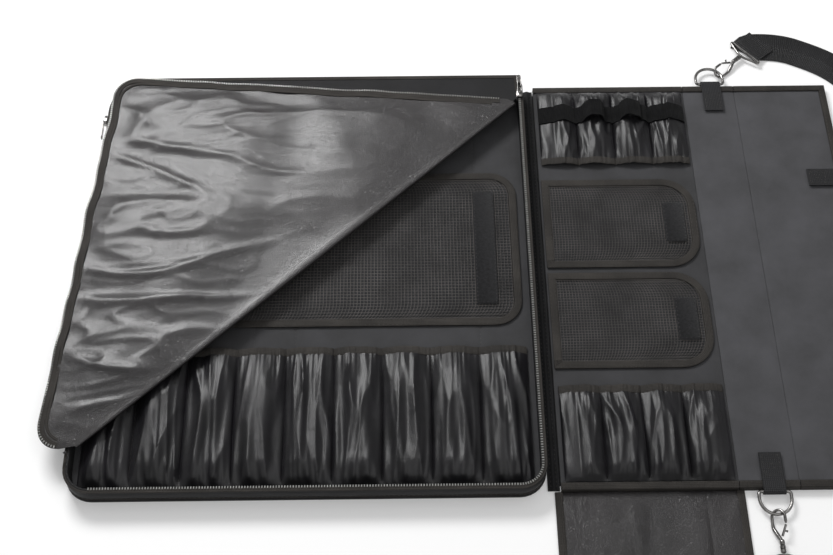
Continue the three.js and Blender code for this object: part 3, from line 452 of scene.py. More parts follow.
# The lining is a padded cloth laid on the boards. It is quilted down along the lines where the
# closed case folds, and swells a little between them.
def lining(name, shape, seams, material, body, node_name):
    shape = np.asarray(shape, float)
    low, high = shape.min(axis=0), shape.max(axis=0)
    width, depth = high - low
    from_edge = np.array([0, 0.6, 1.5, 3, 5, 8, 12, 18, 26])
    middle = np.arange(low[1] + 34, high[1] - 30, 8)
    ys = np.concatenate([low[1] + from_edge, middle, high[1] - from_edge[::-1]])
    closed = np.concatenate([shape, shape[:1]])
    xs = np.linspace(0, 1, max(int(width / 3), 12))
    extra = [(s - low[0]) / width + d / width for s in seams for d in (-1, 0, 1)]
    xs = np.sort(np.concatenate([xs, extra]))
    grid = np.zeros((len(ys), len(xs), 3))
    for j, y in enumerate(ys):
        crossings = []
        for p, q in zip(closed[:-1], closed[1:]):
            if abs(p[1] - q[1]) > 1e-9 and min(p[1], q[1]) - 1e-9 <= y <= max(p[1], q[1]) + 1e-9:
                crossings.append(p[0] + (q[0] - p[0]) * (y - p[1]) / (q[1] - p[1]))
        left, right = (min(crossings), max(crossings)) if crossings else (low[0], high[0])
        grid[j, :, 0] = left + (right - left) * xs
        grid[j, :, 1] = y
    x, y = grid[..., 0], grid[..., 1]
    z = 6.12 + 0.14 * rough(x, y, 60, 1.0) + 0.05 * rough(x, y, 14, 2.0)
    for s in seams:
        z -= 0.55 * np.exp(-((x - s) / 1.3) ** 2)
    edge = np.minimum(np.minimum(x - low[0], high[0] - x), np.minimum(y - low[1], high[1] - y))
    grid[..., 2] = np.minimum(z, LINING_TOP) - 0.35 * np.exp(-np.maximum(edge, 0) / 1.2)
    flat = grid.copy()
    flat[..., 2] = 5.3
    made = put_sheet(name, grid, 1, [material], body, [node_name], lower=flat)
    for k, s in enumerate(seams):
        put_stitches(f"{name}_seam_{k}", [(s, low[1] + 8, 5.75), (s, high[1] - 8, 5.75)], body, height=0.25)


lining("tray_floor_cloth", tray_outline(5.8, 12), (-56, -15, 168), LINING, "tray", "tray_lining")


# The pockets are gathered rows of shiny nylon: one strip sewn down between the pockets, full in the
# middle, with long folds running from the drawn-in seam at the foot to the mouth.
ON_LINING = 6.6


def pocket_rise(u, v, count, height):
    across = (u * count) % 1
    arch = np.maximum(np.sin(math.pi * across), 0) ** 0.6
    swell = np.minimum(1, v / 0.18) * (1 - 0.7 * v ** 3)
    pleat = np.cos(6 * math.pi * across) * np.sin(math.pi * np.minimum(1, v * 1.2))
    return arch, (height - 1.2) * arch * np.sin(math.pi / 2 * swell) + 0.9 * pleat * arch


def nylon_folds(u, v, count, seed):
    """The folds in a row of pockets: long ridges that fan out from the seam and wander a little."""
    across = u * count
    drift = 0.13 * rough(across * 4, v * 9, 9, seed)
    lean = 0.5 * rough(np.floor(across) * 7.3, 0 * v, 3, seed + 5) * v
    broad = 1 - 2 * np.abs(rough((across + drift + lean) * 9, v * 5, 3.4, seed + 1))
    second = 1 - 2 * np.abs(rough((across - drift) * 10, v * 2.4, 1.9, seed + 2))
    soft = rough(across * 10, v * 12, 6.0, seed + 3)
    near_seam = np.exp(-v / 0.22)
    near_mouth = np.exp(-(1 - v) / 0.1)
    gathers = rough(across * 10, v * 0.7, 0.6, seed + 4) * np.exp(-(1 - v) / 0.16)
    folds = 2.4 * np.clip(broad, -0.6, 1) * (1 - 0.45 * near_mouth) * (1 - 0.4 * near_seam)
    return folds + 1.1 * np.clip(second, -0.5, 1) * (0.5 + near_seam) + 0.7 * soft + 0.9 * gathers


def pocket_height(u, v, count, height, seed):
    arch, rise = pocket_rise(u, v, count, height)
    loose = np.minimum(1, v / 0.05) * np.minimum(1, 0.25 + arch)
    folds = nylon_folds(u, v, count, seed) * loose
    return ON_LINING + 1.2 + np.maximum(rise + folds, -0.35)


def under_fold(x, z, spare=0):
    """Height z kept so low beside the first fold that the panel can fold up beside the tray."""
    room = np.where(x > TRAY_FOLD, 6.4 + 1.5 * np.maximum(x - TRAY_FOLD - 20, 0), 99) + spare
    return ON_LINING + room * np.tanh((z - ON_LINING) / room)


def pockets(name, x0, x1, sewn, mouth, count, height, seed, body):
    columns, rows = count * 44, 64
    u, v = shares(columns + 1, rows + 1)
    v = v ** 1.15
    wander = rough(u * count * 10, v * 3, 3.5, seed + 9) * 1.2 * np.minimum(1, v / 0.1)
    inner = np.minimum(1, np.minimum(u, 1 - u) * count * 4)
    x = x0 + (x1 - x0) * u + wander * inner
    y = sewn + (mouth - sewn) * v
    grid = surface(x, y, under_fold(x, pocket_height(u, v, count, height, seed)))
    row = put_sheet(f"{name}_pockets", grid, 0.7, [NYLON], body, [f"{name}_pocket_row"])
    outward = 1 if mouth > sewn else -1
    bu, bv = shares(columns + 1, 9)
    arch, rise = pocket_rise(bu, np.ones_like(bu), count, height)
    fold = nylon_folds(bu, np.ones_like(bu), count, seed) * np.minimum(1, 0.25 + arch) * 0.75
    dome = 0.7 * np.sin(math.pi * bv) ** 0.4
    x = x0 + (x1 - x0) * bu
    y = mouth + outward * (8.3 * bv - 1.0)
    z = under_fold(x, ON_LINING + 1.25 + np.maximum(rise + fold, -0.35) + dome)
    put_sheet(f"{name}_pockets_mouth_tape", surface(x, y, z), 1, [BINDING], body, [f"{name}_pocket_binding"],
              lower=surface(x, y, z - dome - 0.7))
    for k in range(1, count):
        sx = x0 + (x1 - x0) * k / count
        seam = [(sx, sewn, 7.9), (sx, mouth + outward * 7, 7.95)]
        put_stitches(f"{name}_pockets_seam_{k}", seam, body)


NYLON, nylon_tree, nylon_bsdf, nylon_coords = shader(
    "shiny_nylon", 0.3, 0.4, (15, 15, 16), (27, 26, 29), 25, Sheen_Weight=0.05, Sheen_Roughness=0.35,
    Sheen_Tint=(0.85, 0.8, 0.95, 1))
nylon_crush = node(nylon_tree, "TexNoise", Vector=nylon_coords, Scale=70.0, Detail=2.0, Distortion=0.4)
nylon_first = bump(nylon_tree, nylon_bsdf, nylon_crush.outputs["Fac"], 0.45)
bump(nylon_tree, nylon_bsdf, weave(nylon_tree, nylon_coords, 0.7, 0.2), 0.06, nylon_first)

pockets("knife", -213, 213, -228, -94, 9, 11, 5.0, "tray")


# The mesh flaps are a coarse knitted net held in a wide woven binding, sewn down along the left
# edge. A strip of hook-and-loop tape near the free edge holds each one shut.
NET = cloth("net_yarn", (64, 62, 61), (92, 89, 87), 0.5, 0.08, 0.7, 0.3)
LOOP, loop_tree, loop_bsdf, loop_coords = shader("loop_tape", 0.95, 0.1, (20, 20, 21), (36, 36, 38), 3,
                                                 Sheen_Weight=0.3)
loop_fuzz = node(loop_tree, "TexNoise", Vector=loop_coords, Scale=1400.0, Detail=5.0)
bump(loop_tree, loop_bsdf, loop_fuzz.outputs["Fac"], 0.6)


def mesh_flap(name, x0, y0, x1, y1, corner, patch, pitch, stitched_at, swell):
    """The middle of the binding lies 4 mm inside the flap's outline, and the net starts at 5.5 mm."""
    edge = outline(x0 + 4, y0 + 4, x1 - 4, y1 - 4, (0, corner - 4, corner - 4, 0), 10)
    frame_line = level(spaced(edge, 5, closed=True), 7.75)
    keep_corners(frame_line, ((x0 + 4, y0 + 4), (x0 + 4, y1 - 4)))
    frame_line[:, 2] += 0.18 * rough(frame_line[:, 0], frame_line[:, 1], 38, 7 + x0 / 50)
    tape = put_sweep(name + "_frame_tape", frame_line, tape_section(8, 2.2), BINDING, name,
                     [name + "_binding"], closed=True)
    for inset, label in ((1.3, "outer"), (6.6, "inner")):
        r = max(corner - inset, 1)
        line = outline(x0 + inset, y0 + inset, x1 - inset, y1 - inset, (0, r, r, 0), 10)
        put_stitches(f"{name}_stitches_{label}", level(line, 8.62), name, closed=True)
    net_width, net_depth = x1 - x0 - 11, y1 - y0 - 11
    columns = int(net_width / pitch)
    rows = int(net_depth / pitch)
    u, v = shares(columns + 1, rows + 1)
    y = y0 + 5.5 + net_depth * v
    bite = np.minimum(y - y0 - 5.5, y1 - 5.5 - y)
    r = corner - 5.5
    pull = np.where(bite < r, r - np.sqrt(np.maximum(r * r - (r - bite) ** 2, 0)), 0)
    x = x0 + 5.5 + (net_width - pull) * u
    z = 7.15 + swell * np.sin(math.pi * u) ** 0.5 * np.sin(math.pi * v) ** 0.5
    z += 0.35 * rough(x, y, 30, 4.0) * np.sin(math.pi * u) * np.sin(math.pi * v)
    knots = surface(x, y, z).reshape(-1, 3)
    cells = grid_faces(rows + 1, columns + 1).tolist()
    net = put(name + "_net_cloth", knots, cells, [NET], name, [name + "_net"])
    strands = net.modifiers.new("strands", "WIREFRAME")
    strands.thickness = pitch * 0.000325
    strands.use_even_offset = False
    strands.use_boundary = True
    px0, px1, py0, py1 = patch
    rounding = [(1.0, 7.9), (0.3, 8.2), (0.2, 8.9), (0.9, 9.3)]
    rings = [level(outline(px0 + i, py0 + i, px1 - i, py1 - i, (3, 3, 3, 3), 3), z) for i, z in rounding]
    put_pad(name + "_closing_tape", rings, LOOP, name, [name + "_patch"])
    line = outline(px0 + 1.5, py0 + 1.5, px1 - 1.5, py1 - 1.5, (0, 0, 0, 0))
    put_stitches(name + "_closing_stitches", level(line, 9.25), name, closed=True)
    band_z = 8.3 + swell * 0.5
    for k, sx in enumerate(stitched_at):
        put_stitches(f"{name}_band_{k}", [(sx, y0 + 7, band_z), (sx, y1 - 7, band_z)], name, width=0.7)


mesh_flap("large_flap", -205.5, -62, 211.5, 121, 28, (165.5, 187.5, -38, 97), 3.4, (162, 191), 1.0)
for name, y in (("back_flap", 3), ("front_flap", -111)):
    mesh_flap(name, 239, y, 399, y + 108, 34, (364, 386, y + 30, y + 78), 3.0, (356, 360), 0.8)


# The cover is nylon outside and grained vinyl inside. It stays sewn down at the back and left. Its
# unzipped corner is folded over and shows the vinyl, soft and creased, with a round fold.
VINYL, vinyl_tree, vinyl_bsdf, vinyl_coords = shader(
    "grained_vinyl", 0.3, 0.55, (27, 25, 26), (38, 35, 36), 70, Coat_Weight=0.1, Coat_Roughness=0.22)
vinyl_grain = node(vinyl_tree, "TexVoronoi", {"feature": "DISTANCE_TO_EDGE"}, Vector=vinyl_coords,
                   Scale=700.0)
vinyl_pits = node(vinyl_tree, "MapRange", i0=vinyl_grain.outputs["Distance"], From_Max=0.12)
vinyl_soft = node(vinyl_tree, "TexNoise", Vector=vinyl_coords, Scale=35.0, Detail=5.0, Roughness=0.65)
vinyl_first = bump(vinyl_tree, vinyl_bsdf, vinyl_soft.outputs["Fac"], 0.4)
bump(vinyl_tree, vinyl_bsdf, vinyl_pits.outputs[0], 0.12, vinyl_first)
uneven_gloss(vinyl_tree, vinyl_bsdf, vinyl_coords, 18.0, 4.0, 0.27, 0.34)

# The fold runs from the cover's front left end to its back right corner. The free edge is about
# EDGE_LENGTH long, and the folded vinyl lies at CORNER_LEVEL and above.
EDGE_LENGTH, CORNER_LEVEL = 876, 26.5
FOLD_FRONT = np.array([-225.0, -204.0])
FOLD_ALONG = np.array([453.0, 418.0]) / np.linalg.norm([453.0, 418.0])
FOLD_OUT = np.array([FOLD_ALONG[1], -FOLD_ALONG[0]])


def fold_y(x):
    return FOLD_FRONT[1] + (x - FOLD_FRONT[0]) * FOLD_ALONG[1] / FOLD_ALONG[0]


def folded_over(points):
    from_front = np.asarray(points) - FOLD_FRONT
    along = from_front @ FOLD_ALONG
    return 2 * along[:, None] * FOLD_ALONG - from_front + FOLD_FRONT


def free_edge(inset):
    """The corner's edge where it lies folded over, at an inset from the tray's closed edge."""
    left, right, front, r = -HALF_W + inset, HALF_W - inset, -HALF_D + inset, 20
    shut = [(left, fold_y(left) - 8)]
    for x, start in ((left + r, 180), (right - r, 270)):
        for k in range(9):
            a = math.radians(start + 90 * k / 8)
            shut.append((x + r * math.cos(a), front + r + r * math.sin(a)))
    shut.append((right, fold_y(right) - 8))
    return folded_over(shut)


def along_line(points, t):
    points = np.asarray(points)
    length = run(points)
    return np.stack([np.interp(t * length[-1], length, points[:, k]) for k in range(2)], axis=-1)


def left_of(line):
    """The level direction to the left of a line, at each of its points."""
    step = np.gradient(line, axis=0)
    return unit(np.stack([-step[:, 1], step[:, 0]], axis=1))


def edge_wave(t):
    """How far the free edge wanders outwards, and how far it lifts, at a share of its length."""
    calm = np.minimum(1, np.minimum(t, 1 - t) * 12)
    left_part = np.where(t < 0.5, 1.0, 0.45)
    sideways = calm * left_part * 2.6 * rough(t * EDGE_LENGTH, 0 * t, 42, 21.0)
    lift = calm * left_part * (1.0 + 1.2 * rough(t * EDGE_LENGTH, 0 * t, 33, 22.0))
    return sideways, np.maximum(lift, 0)


t = np.linspace(0, 1, 241)
edge_line = along_line(free_edge(7), 0.004 + 0.992 * t)
edge_out = left_of(edge_line)
edge_side, edge_lift = edge_wave(t)
edge_line = edge_line + edge_out * edge_side[:, None]
fold_line = np.stack([-214 + 428 * t, fold_y(-214 + 428 * t)], axis=1)
v = np.linspace(0, 1, 91) ** 0.9
place = fold_line[None] + (edge_line - fold_line)[None] * (v * 0.985)[:, None, None]
cx, cy = place[..., 0], place[..., 1]
uu, vv = np.meshgrid(t, v)
inside = np.sin(math.pi * np.minimum(vv * 1.02, 1)) * np.sin(math.pi * uu)
soft = np.clip(inside * 3, 0, 1)
crease = np.sin(9 * uu + 5 * vv) * np.sin(4 * uu - 7 * vv)
left_side = np.clip((40 - cx) / 200, 0.15, 1)
ridges = 1 - np.abs(rough(cx + 0.35 * cy, cy * 3.2, 120, 31.0)) * 2.2
small_ridges = 1 - np.abs(rough(cx * 0.8 - cy * 0.3, cy * 2.4, 46, 32.0)) * 2.2
cz = CORNER_LEVEL + inside * (2.2 + 3.2 * (0.5 + 0.5 * crease))
cz += soft * (3.0 * rough(cx, cy, 120, 33.0) + 0.9 * rough(cx, cy, 48, 35.0))
cz += soft * left_side * (2.2 * np.clip(ridges, 0, 1) ** 1.5 + 0.7 * np.clip(small_ridges, 0, 1) ** 2)
cz += edge_lift[None] * vv ** 8
round_over = 0.7 * np.sin(math.pi * uu)
cz = np.maximum(cz, CORNER_LEVEL - 0.05) + 2 * round_over * np.exp(-vv / 0.03)
roll = []
for angle in np.linspace(-90, 80, 9):
    a = math.radians(angle)
    r = 1.9 + round_over[0]
    reach = fold_line + FOLD_OUT * (r * math.cos(a))[:, None]
    roll.append(np.concatenate([reach, (22.65 + r + r * math.sin(a))[:, None]], axis=1))
upper = np.concatenate([np.stack(roll), surface(cx, cy, cz)])
folded_corner = put_sheet("folded_corner", upper, 1.1, [VINYL, SHELL], "cover", ["cover_corner"])
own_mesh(folded_corner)

SEWN_LEFT, SEWN_RIGHT, SEWN_BACK, SEWN_RADIUS = -223, 218, 238, 42
turn_x, turn_y = SEWN_LEFT + SEWN_RADIUS, SEWN_BACK - SEWN_RADIUS
back_left = [(SEWN_LEFT, fold_y(SEWN_LEFT)), (SEWN_LEFT, turn_y)]
back_left += [(turn_x + SEWN_RADIUS * math.cos(a), turn_y + SEWN_RADIUS * math.sin(a))
              for a in np.linspace(math.pi, math.pi / 2, 12)]
back_left += [(SEWN_RIGHT, SEWN_BACK), (SEWN_RIGHT, fold_y(SEWN_RIGHT))]
sewn_edge = along_line(back_left, np.linspace(0, 1, 181))
sewn_x = np.linspace(SEWN_LEFT, SEWN_RIGHT, 181)
sewn_fold = np.stack([sewn_x, fold_y(sewn_x)], axis=1) - FOLD_OUT * 3.2
w = np.linspace(0, 1, 41)
sewn = sewn_fold[None] + (sewn_edge - sewn_fold)[None] * w[:, None, None]
sx, sy = sewn[..., 0], sewn[..., 1]
sz = 24.05 + 0.3 * rough(sx, sy, 40, 41.0) * np.minimum(1, 6 * (1 - w))[:, None]
sewn_cover = put_sheet("sewn_cover", surface(sx, sy, sz), 1.2, [SHELL, VINYL], "tray", ["cover_sewn"])
seam_line = level(spaced(along_line(back_left, np.linspace(0.01, 0.985, 300)), 5), 23.9)
put_sweep("cover_edge_tape", seam_line, tape_section(4.6, 1.6), BINDING, "tray")
put_stitches("cover_edge_stitches", seam_line + np.array([0, 0, 0.72]), "tray")


# Every zip is a woven tape with a row of moulded teeth along one edge. The rim's half and the
# corner's half part at the slider by the back right corner; the left wall has a closed short zip.
TEETH = shader("moulded_teeth", 0.35, 0.5, (112, 112, 110), (160, 160, 157), 4, Metallic=0.3)[0]


def put_teeth(name, path, body, pitch=2.6, reach=(-0.9, 1.9), height=1.2, upright=False):
    """Teeth along a line, reaching to its left. An upright row stands on a wall to its right."""
    line = spaced(path, pitch)
    points, faces = [], []
    box = [(0, 3, 2, 1), (4, 5, 6, 7), (0, 1, 5, 4), (1, 2, 6, 5), (2, 3, 7, 6), (3, 0, 4, 7)]
    for a, b in zip(line[:-1], line[1:]):
        along = unit(b - a)
        left = np.array([-along[1], along[0], 0])
        up = np.array([0, 0, 1.0])
        if upright:
            left, up = up, left
        first = len(points)
        for z, wide in ((0, 0.68), (height, 0.42)):
            for s, n in ((reach[0], -1), (reach[1] - 0.2 * z, -1), (reach[1] - 0.2 * z, 1), (reach[0], 1)):
                points.append(a + along * (pitch / 2 + n * wide) + left * s + up * z)
        faces += [[first + i for i in face] for face in box]
    put(name, points, faces, [TEETH], body, sharp=25)


rim_path = [(-199, -237.2), (199, -237.2)]
rim_path += [(199 + 23.2 * math.cos(a), -214 + 23.2 * math.sin(a)) for a in np.linspace(-math.pi / 2, 0, 12)]
rim_path += [(222.2, 227)]
put_sweep("rim_zip_tape", level(spaced(rim_path, 5), 23.05), tape_section(4.4, 0.9), BINDING, "tray",
          ["rim_zip"])
put_teeth("rim_zip_teeth", level(spaced(rim_path, 3), 23.2), "tray", reach=(0.9, 3.2))
corner_line = along_line(free_edge(10.2), 0.01 + 0.98 * t)
corner_line = corner_line + edge_out * edge_side[:, None]
corner_path = np.concatenate([corner_line, (26.95 + edge_lift)[:, None]], axis=1)
put_sweep("corner_zip_tape", corner_path, tape_section(6.4, 1.0), BINDING, "cover", ["cover_corner_zip"])
put_teeth("corner_zip_teeth", corner_path + np.array([0, 0, 0.15]), "cover", reach=(1.2, 3.4))
inner_line = along_line(free_edge(14.6), 0.015 + 0.97 * t) + edge_out * edge_side[:, None]
inner_path = np.concatenate([inner_line, (27.0 + edge_lift)[:, None]], axis=1)
put_sweep("corner_hem", inner_path, tape_section(3.2, 1.0, 10), BINDING, "cover")
SIDE_BACK, SIDE_FRONT, SIDE_LEVEL = 196, -4, 13.8
side_y, side_z = np.meshgrid(np.linspace(SIDE_BACK, SIDE_FRONT, 60), np.linspace(11.3, 16.3, 7))
side_faces = [surface(np.full_like(side_y, x), side_y, side_z) for x in (-226.1, -225.3)]
put_sheet("side_zip_tape", side_faces[0], 1, [BINDING], "tray", ["side_zip"], lower=side_faces[1])
side_path = [(-226.1, SIDE_BACK, SIDE_LEVEL), (-226.1, SIDE_FRONT, SIDE_LEVEL)]
put_teeth("side_zip_teeth", side_path, "tray", reach=(-1.2, 1.2), height=-1.2, upright=True)


# The sliders and pulls are bright nickel. Each pull is a thin frame, hooked under the bridge on
# its slider's back.
NICKEL, nickel_tree, nickel_bsdf, nickel_coords = shader("bright_nickel", 0.2, 0.5, (96, 95, 94),
                                                         (160, 158, 156), 9, Metallic=1.0)
uneven_gloss(nickel_tree, nickel_bsdf, nickel_coords, 420.0, 5.0, 0.12, 0.34)


def wire_mesh(name, points, radius, body, replaces=(), closed=False, matrix=None, rounds=12):
    """A smooth round wire through points; radius may change along it."""
    p = np.asarray(points, float)
    n = len(p)
    r = np.full(n, radius) if np.isscalar(radius) else np.asarray(radius, float)
    if closed:
        along = np.roll(p, -1, axis=0) - np.roll(p, 1, axis=0)
    else:
        along = np.gradient(p, axis=0)
    along = unit(along)
    plane = np.cross(p, np.roll(p, -1, axis=0)).sum(axis=0)
    plane = unit(plane) if np.linalg.norm(plane) > 1e-6 else np.array([0, 0, 1.0])
    side = unit(np.cross(along, plane))
    turn = np.linspace(0, 2 * math.pi, rounds, endpoint=False)
    ring = side[:, None] * np.cos(turn)[None, :, None] + plane * np.sin(turn)[None, :, None]
    points = (p[:, None] + ring * r[:, None, None]).reshape(-1, 3)
    if matrix is not None:
        points = np.array([matrix @ Vector(q) for q in points])
    put(name, points, tube_faces(n, rounds, closed), [NICKEL], body, replaces)


def slider_outline(x, y, inset):
    half, end = 3.5 - inset, 5.5 - inset
    shape = [(-0.6, -1), (0.6, -1), (0.85, -0.7), (1, -0.2), (1, 0.33), (0.7, 1), (-0.7, 1), (-1, 0.33),
             (-1, -0.2), (-0.85, -0.7)]
    return np.array([(x + a * half, y + b * end) for a, b in shape])


SLIDER_X, SLIDER_Y = 220.4, 214
slider_profile = [(0.5, 24.4), (0.0, 24.7), (0.0, 25.3), (0.9, 25.5), (0.9, 26.2), (0.0, 26.4), (0.1, 27.0),
                  (0.6, 27.4)]
slider_rings = [level(slider_outline(SLIDER_X, SLIDER_Y, i), z) for i, z in slider_profile]
put_pad("front_slider_body", slider_rings, NICKEL, "slider", ["zip_slider"])
pull_line = spaced(outline(218.45, 213.55, 222.35, 236.45, (1.2, 1.2, 1.6, 1.6), 5), 0.8, closed=True)
wire_mesh("front_pull_frame", level(pull_line, 28.4), 0.62, "pull", ["zip_pull"], closed=True)
grip = outline(218.6, 226, 222.2, 236, (0.4, 0.4, 1.4, 1.4), 4)
put_pad("front_pull_grip", [level(grip, 28.05), level(grip, 28.75)], NICKEL, "pull")
arch_line = [(SLIDER_X, 216.6 - 5.2 * k / 12, 27.2 + 1.3 * math.sin(math.pi * k / 12)) for k in range(13)]
wire_mesh("front_slider_bridge", arch_line, 0.5, "slider")
side_rings = []
for inset, depth in ((0.5, 0.0), (0.0, 0.3), (0.0, 2.6), (0.5, 3.0)):
    across, along = slider_outline(0, 0, inset).T
    side_rings.append(surface(np.full_like(across, -227.9 - depth), 190.5 + along, SIDE_LEVEL + across))
put_pad("side_slider_body", side_rings, NICKEL, "side_runner", ["side_slider"])
side_frame = spaced(outline(166.9, 11.85, 190.1, 15.75, (1.6, 1.2, 1.2, 1.6), 5), 0.8, closed=True)
side_frame = np.insert(side_frame, 0, -231.9, axis=1)
wire_mesh("side_pull_frame", side_frame, 0.62, "side_grip", ["side_pull"], closed=True)


# The panels to the right are lined boards with woven bindings folded over their edges. A soft
# strip joins the first of them to the tray.
def edge_tape(name, plan, sheet_top, body, node_name):
    """A binding folded over an edge. The plan runs anticlockwise round the sheet."""
    top, under = sheet_top + 1.5, sheet_top + 0.3
    section = [(1.5, 0.3), (1.55, top / 2), (1.45, top - 0.7), (1.1, top - 0.2), (0.5, top),
               (-2.6, top + 0.12), (-5.5, top), (-5.95, top - 0.4), (-5.95, under), (0.3, under), (0.3, 0.0),
               (1.2, 0.0)]
    line = level(spaced(plan, 6), 0)
    keep_corners(line, plan[1:-1])
    return put_sweep(name, line, section, BINDING, body, [node_name], sharp=60)


PANEL_HALF, PANEL_SEAM, SEAM_LEVEL = 234, 229.6, 7.75
PANELS = [
    ("middle", 237.4, 402.6, "middle_panel", LINING),
    ("spine", 403.4, 459.6, "spine_panel", FLAP_LINING),
    ("outer", 460.4, 560, "outer_flap", FLAP_LINING),
]
for name, x0, x1, body, finish in PANELS:
    rings = [level(outline(x0 + i, -PANEL_HALF + i, x1 - i, PANEL_HALF - i, (1, 1, 1, 1), 2), z)
             for i, z in base_edge]
    put_pad(name + "_base", rings, SHELL, body, [name + "_board"])
    lining(name + "_cloth", outline(x0, -233.4, x1, 233.4, (0, 0, 0, 0)), (), finish, body, name + "_lining")
for name, x0, x1, body, _ in PANELS[:2]:
    for end, side, first, last in (("back", 1, x1, x0), ("front", -1, x0, x1)):
        plan = [(first, side * PANEL_HALF), (last, side * PANEL_HALF)]
        edge_tape(f"{name}_{end}_tape", plan, LINING_TOP, body, f"{name}_binding_{end}")
        seam = [(x0 + 1, side * PANEL_SEAM), (x1 - 1, side * PANEL_SEAM)]
        put_stitches(f"{name}_tape_stitches_{end}", level(seam, SEAM_LEVEL), body)
left, right = PANELS[2][1:3]
plan = [(left, -PANEL_HALF), (right, -PANEL_HALF), (right, PANEL_HALF), (left, PANEL_HALF)]
edge_tape("outer_edge_tape", plan, LINING_TOP, "outer_flap", "outer_binding")
seam = [(461, -PANEL_SEAM), (555.6, -PANEL_SEAM), (555.6, PANEL_SEAM), (461, PANEL_SEAM)]
put_stitches("outer_tape_stitches", level(seam, SEAM_LEVEL), "outer_flap")
gx, gy = np.meshgrid(np.linspace(225.3, 236.6, 13), np.linspace(-PANEL_HALF, PANEL_HALF, 118))
gz = 1.9 + 0.6 * np.cos((gx - 231) / 5.65 * math.pi * 1.5) + 0.12 * rough(gx, gy, 12, 51.0)
put_sheet("hinge_cloth", surface(gx, gy, gz), 1, [SHELL], "tray", ["hinge_strip"],
          lower=surface(gx, gy, np.zeros_like(gx)))
for k, x in enumerate((228.2, 233.6)):
    put_stitches(f"hinge_seam_{k}", [(x, -231, 2.2), (x, 231, 2.2)], "tray")


# Cloth bridges each fold, one strip low down and, between two panels, one under the linings. At
# rest they lie hidden in the seams.
UNDERSIDE, SEAM = 0.6, 5.2
folds = [
    ("tray_fold", TRAY_FOLD, "tray", "middle_panel", UNDERSIDE, SHELL),
    ("spine_fold", 403, "middle_panel", "spine_panel", UNDERSIDE, SHELL),
    ("spine_seam", 403, "middle_panel", "spine_panel", SEAM, LINING),
    ("outer_fold", 460, "spine_panel", "outer_flap", UNDERSIDE, SHELL),
    ("outer_seam", 460, "spine_panel", "outer_flap", SEAM, FLAP_LINING),
]
for name, x, first, second, z, finish in folds:
    fx, fy = np.meshgrid(np.linspace(x - 6, x + 6, 65), np.linspace(-229, 229, 47))
    bridge = put_sheet(name + "_cloth", surface(fx, fy, np.full_like(fx, z)), 0.4, [finish], None)
    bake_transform(bridge)


# Two rows of four smaller pockets are sewn to the middle panel, at its back for tools and at its
# front. A ribbed elastic band lies over the tool pockets and stands up in two tool loops.
ROW_LEFT, ROW_WIDTH, ROW_COUNT, ROW_HEIGHT, TOOL_SEED = 241, 159, 4, 10.5, 61.0
for name, side, seed in (("tool", 1, TOOL_SEED), ("front", -1, 71.0)):
    pockets(name, ROW_LEFT, ROW_LEFT + ROW_WIDTH, side * 227.4, side * 137.4, ROW_COUNT, ROW_HEIGHT, seed,
            "middle_panel")

ELASTIC, elastic_tree, elastic_bsdf, elastic_coords = shader(
    "ribbed_elastic", 0.9, 0.12, (9, 9, 10), (18, 18, 19), 12, "UV", Sheen_Weight=0.03)
elastic_ribs = threads(elastic_tree, elastic_coords, 1.5, "Y", 0.3)
elastic_cross = threads(elastic_tree, elastic_coords, 2.2, "X", 0.5)
elastic_first = bump(elastic_tree, elastic_bsdf, elastic_cross, 0.25)
bump(elastic_tree, elastic_bsdf, elastic_ribs, 0.45, elastic_first)
eu, ev = shares(201, 11)
below = [pocket_height(eu, np.full_like(eu, s), ROW_COUNT, ROW_HEIGHT, TOOL_SEED)
         for s in (0.25, 0.31, 0.37, 0.43, 0.5)]
smooth = np.max(below, axis=0)
for _ in range(3):
    smooth[:, 1:-1] = np.maximum(smooth[:, 1:-1], (smooth[:, :-2] + smooth[:, 2:]) / 2)
pocket = eu * ROW_COUNT
raised = np.clip((pocket % 1 - 0.2) / 0.6, 0, 1)
middle = (pocket >= 1) & (pocket < 3)
loop = np.where(middle, 8 * np.sqrt(np.maximum(np.sin(math.pi * raised), 0)), 0)
ex = ROW_LEFT + ROW_WIDTH * eu
ey = 183 + 21 * ev + 0.8 * rough(eu * ROW_WIDTH, 0 * ev, 22, 82.0)
ez = smooth + 0.45 + loop + 0.35 * rough(eu * ROW_WIDTH, ev * 21, 9, 81.0) + 0.9
ez = under_fold(ex, ez, 1.2)
elastic = put_sheet("tool_elastic", surface(ex, ey, ez), 1.2, [ELASTIC], "middle_panel", ["elastic_band"])


# The guard is a vinyl flap bound in woven tape. It hangs off the front edge of the middle panel
# and lies in shallow waves, with two pressed seams.
GUARD_LEFT, GUARD_RIGHT, GUARD_FRONT, GUARD_BACK = 233, 407, -340.8, -235.8
GUARD_SEAMS = (251, 372)
hx, hy = np.meshgrid(np.linspace(GUARD_LEFT, GUARD_RIGHT, 117), np.linspace(GUARD_FRONT, GUARD_BACK, 71))
from_sides = np.minimum(hx - GUARD_LEFT, GUARD_RIGHT - hx) / 16
from_ends = np.minimum((hy - GUARD_FRONT) / 16, (GUARD_BACK - hy) / 30)
free = np.clip(np.minimum(from_sides, from_ends), 0, 1)
waves = 2.4 + 3.6 * rough(hx * 1.4, hy * 0.6, 60, 91.0) + 2.0 * rough(hx * 1.5, hy * 0.3, 30, 92.0)
hz = np.maximum(1.5 + free * waves, 1.3)
for s in GUARD_SEAMS:
    hz -= 0.7 * free * np.exp(-((hx - s) / 1.6) ** 2)
guard = put_sheet("guard_vinyl", surface(hx, hy, hz), 1, [VINYL], "guard_flap", ["guard_sheet"],
                  lower=surface(hx, hy, np.maximum(hz - 1.3, 0)))
guard_plan = [(GUARD_LEFT, GUARD_BACK), (GUARD_LEFT, GUARD_FRONT), (GUARD_RIGHT, GUARD_FRONT),
              (GUARD_RIGHT, GUARD_BACK)]
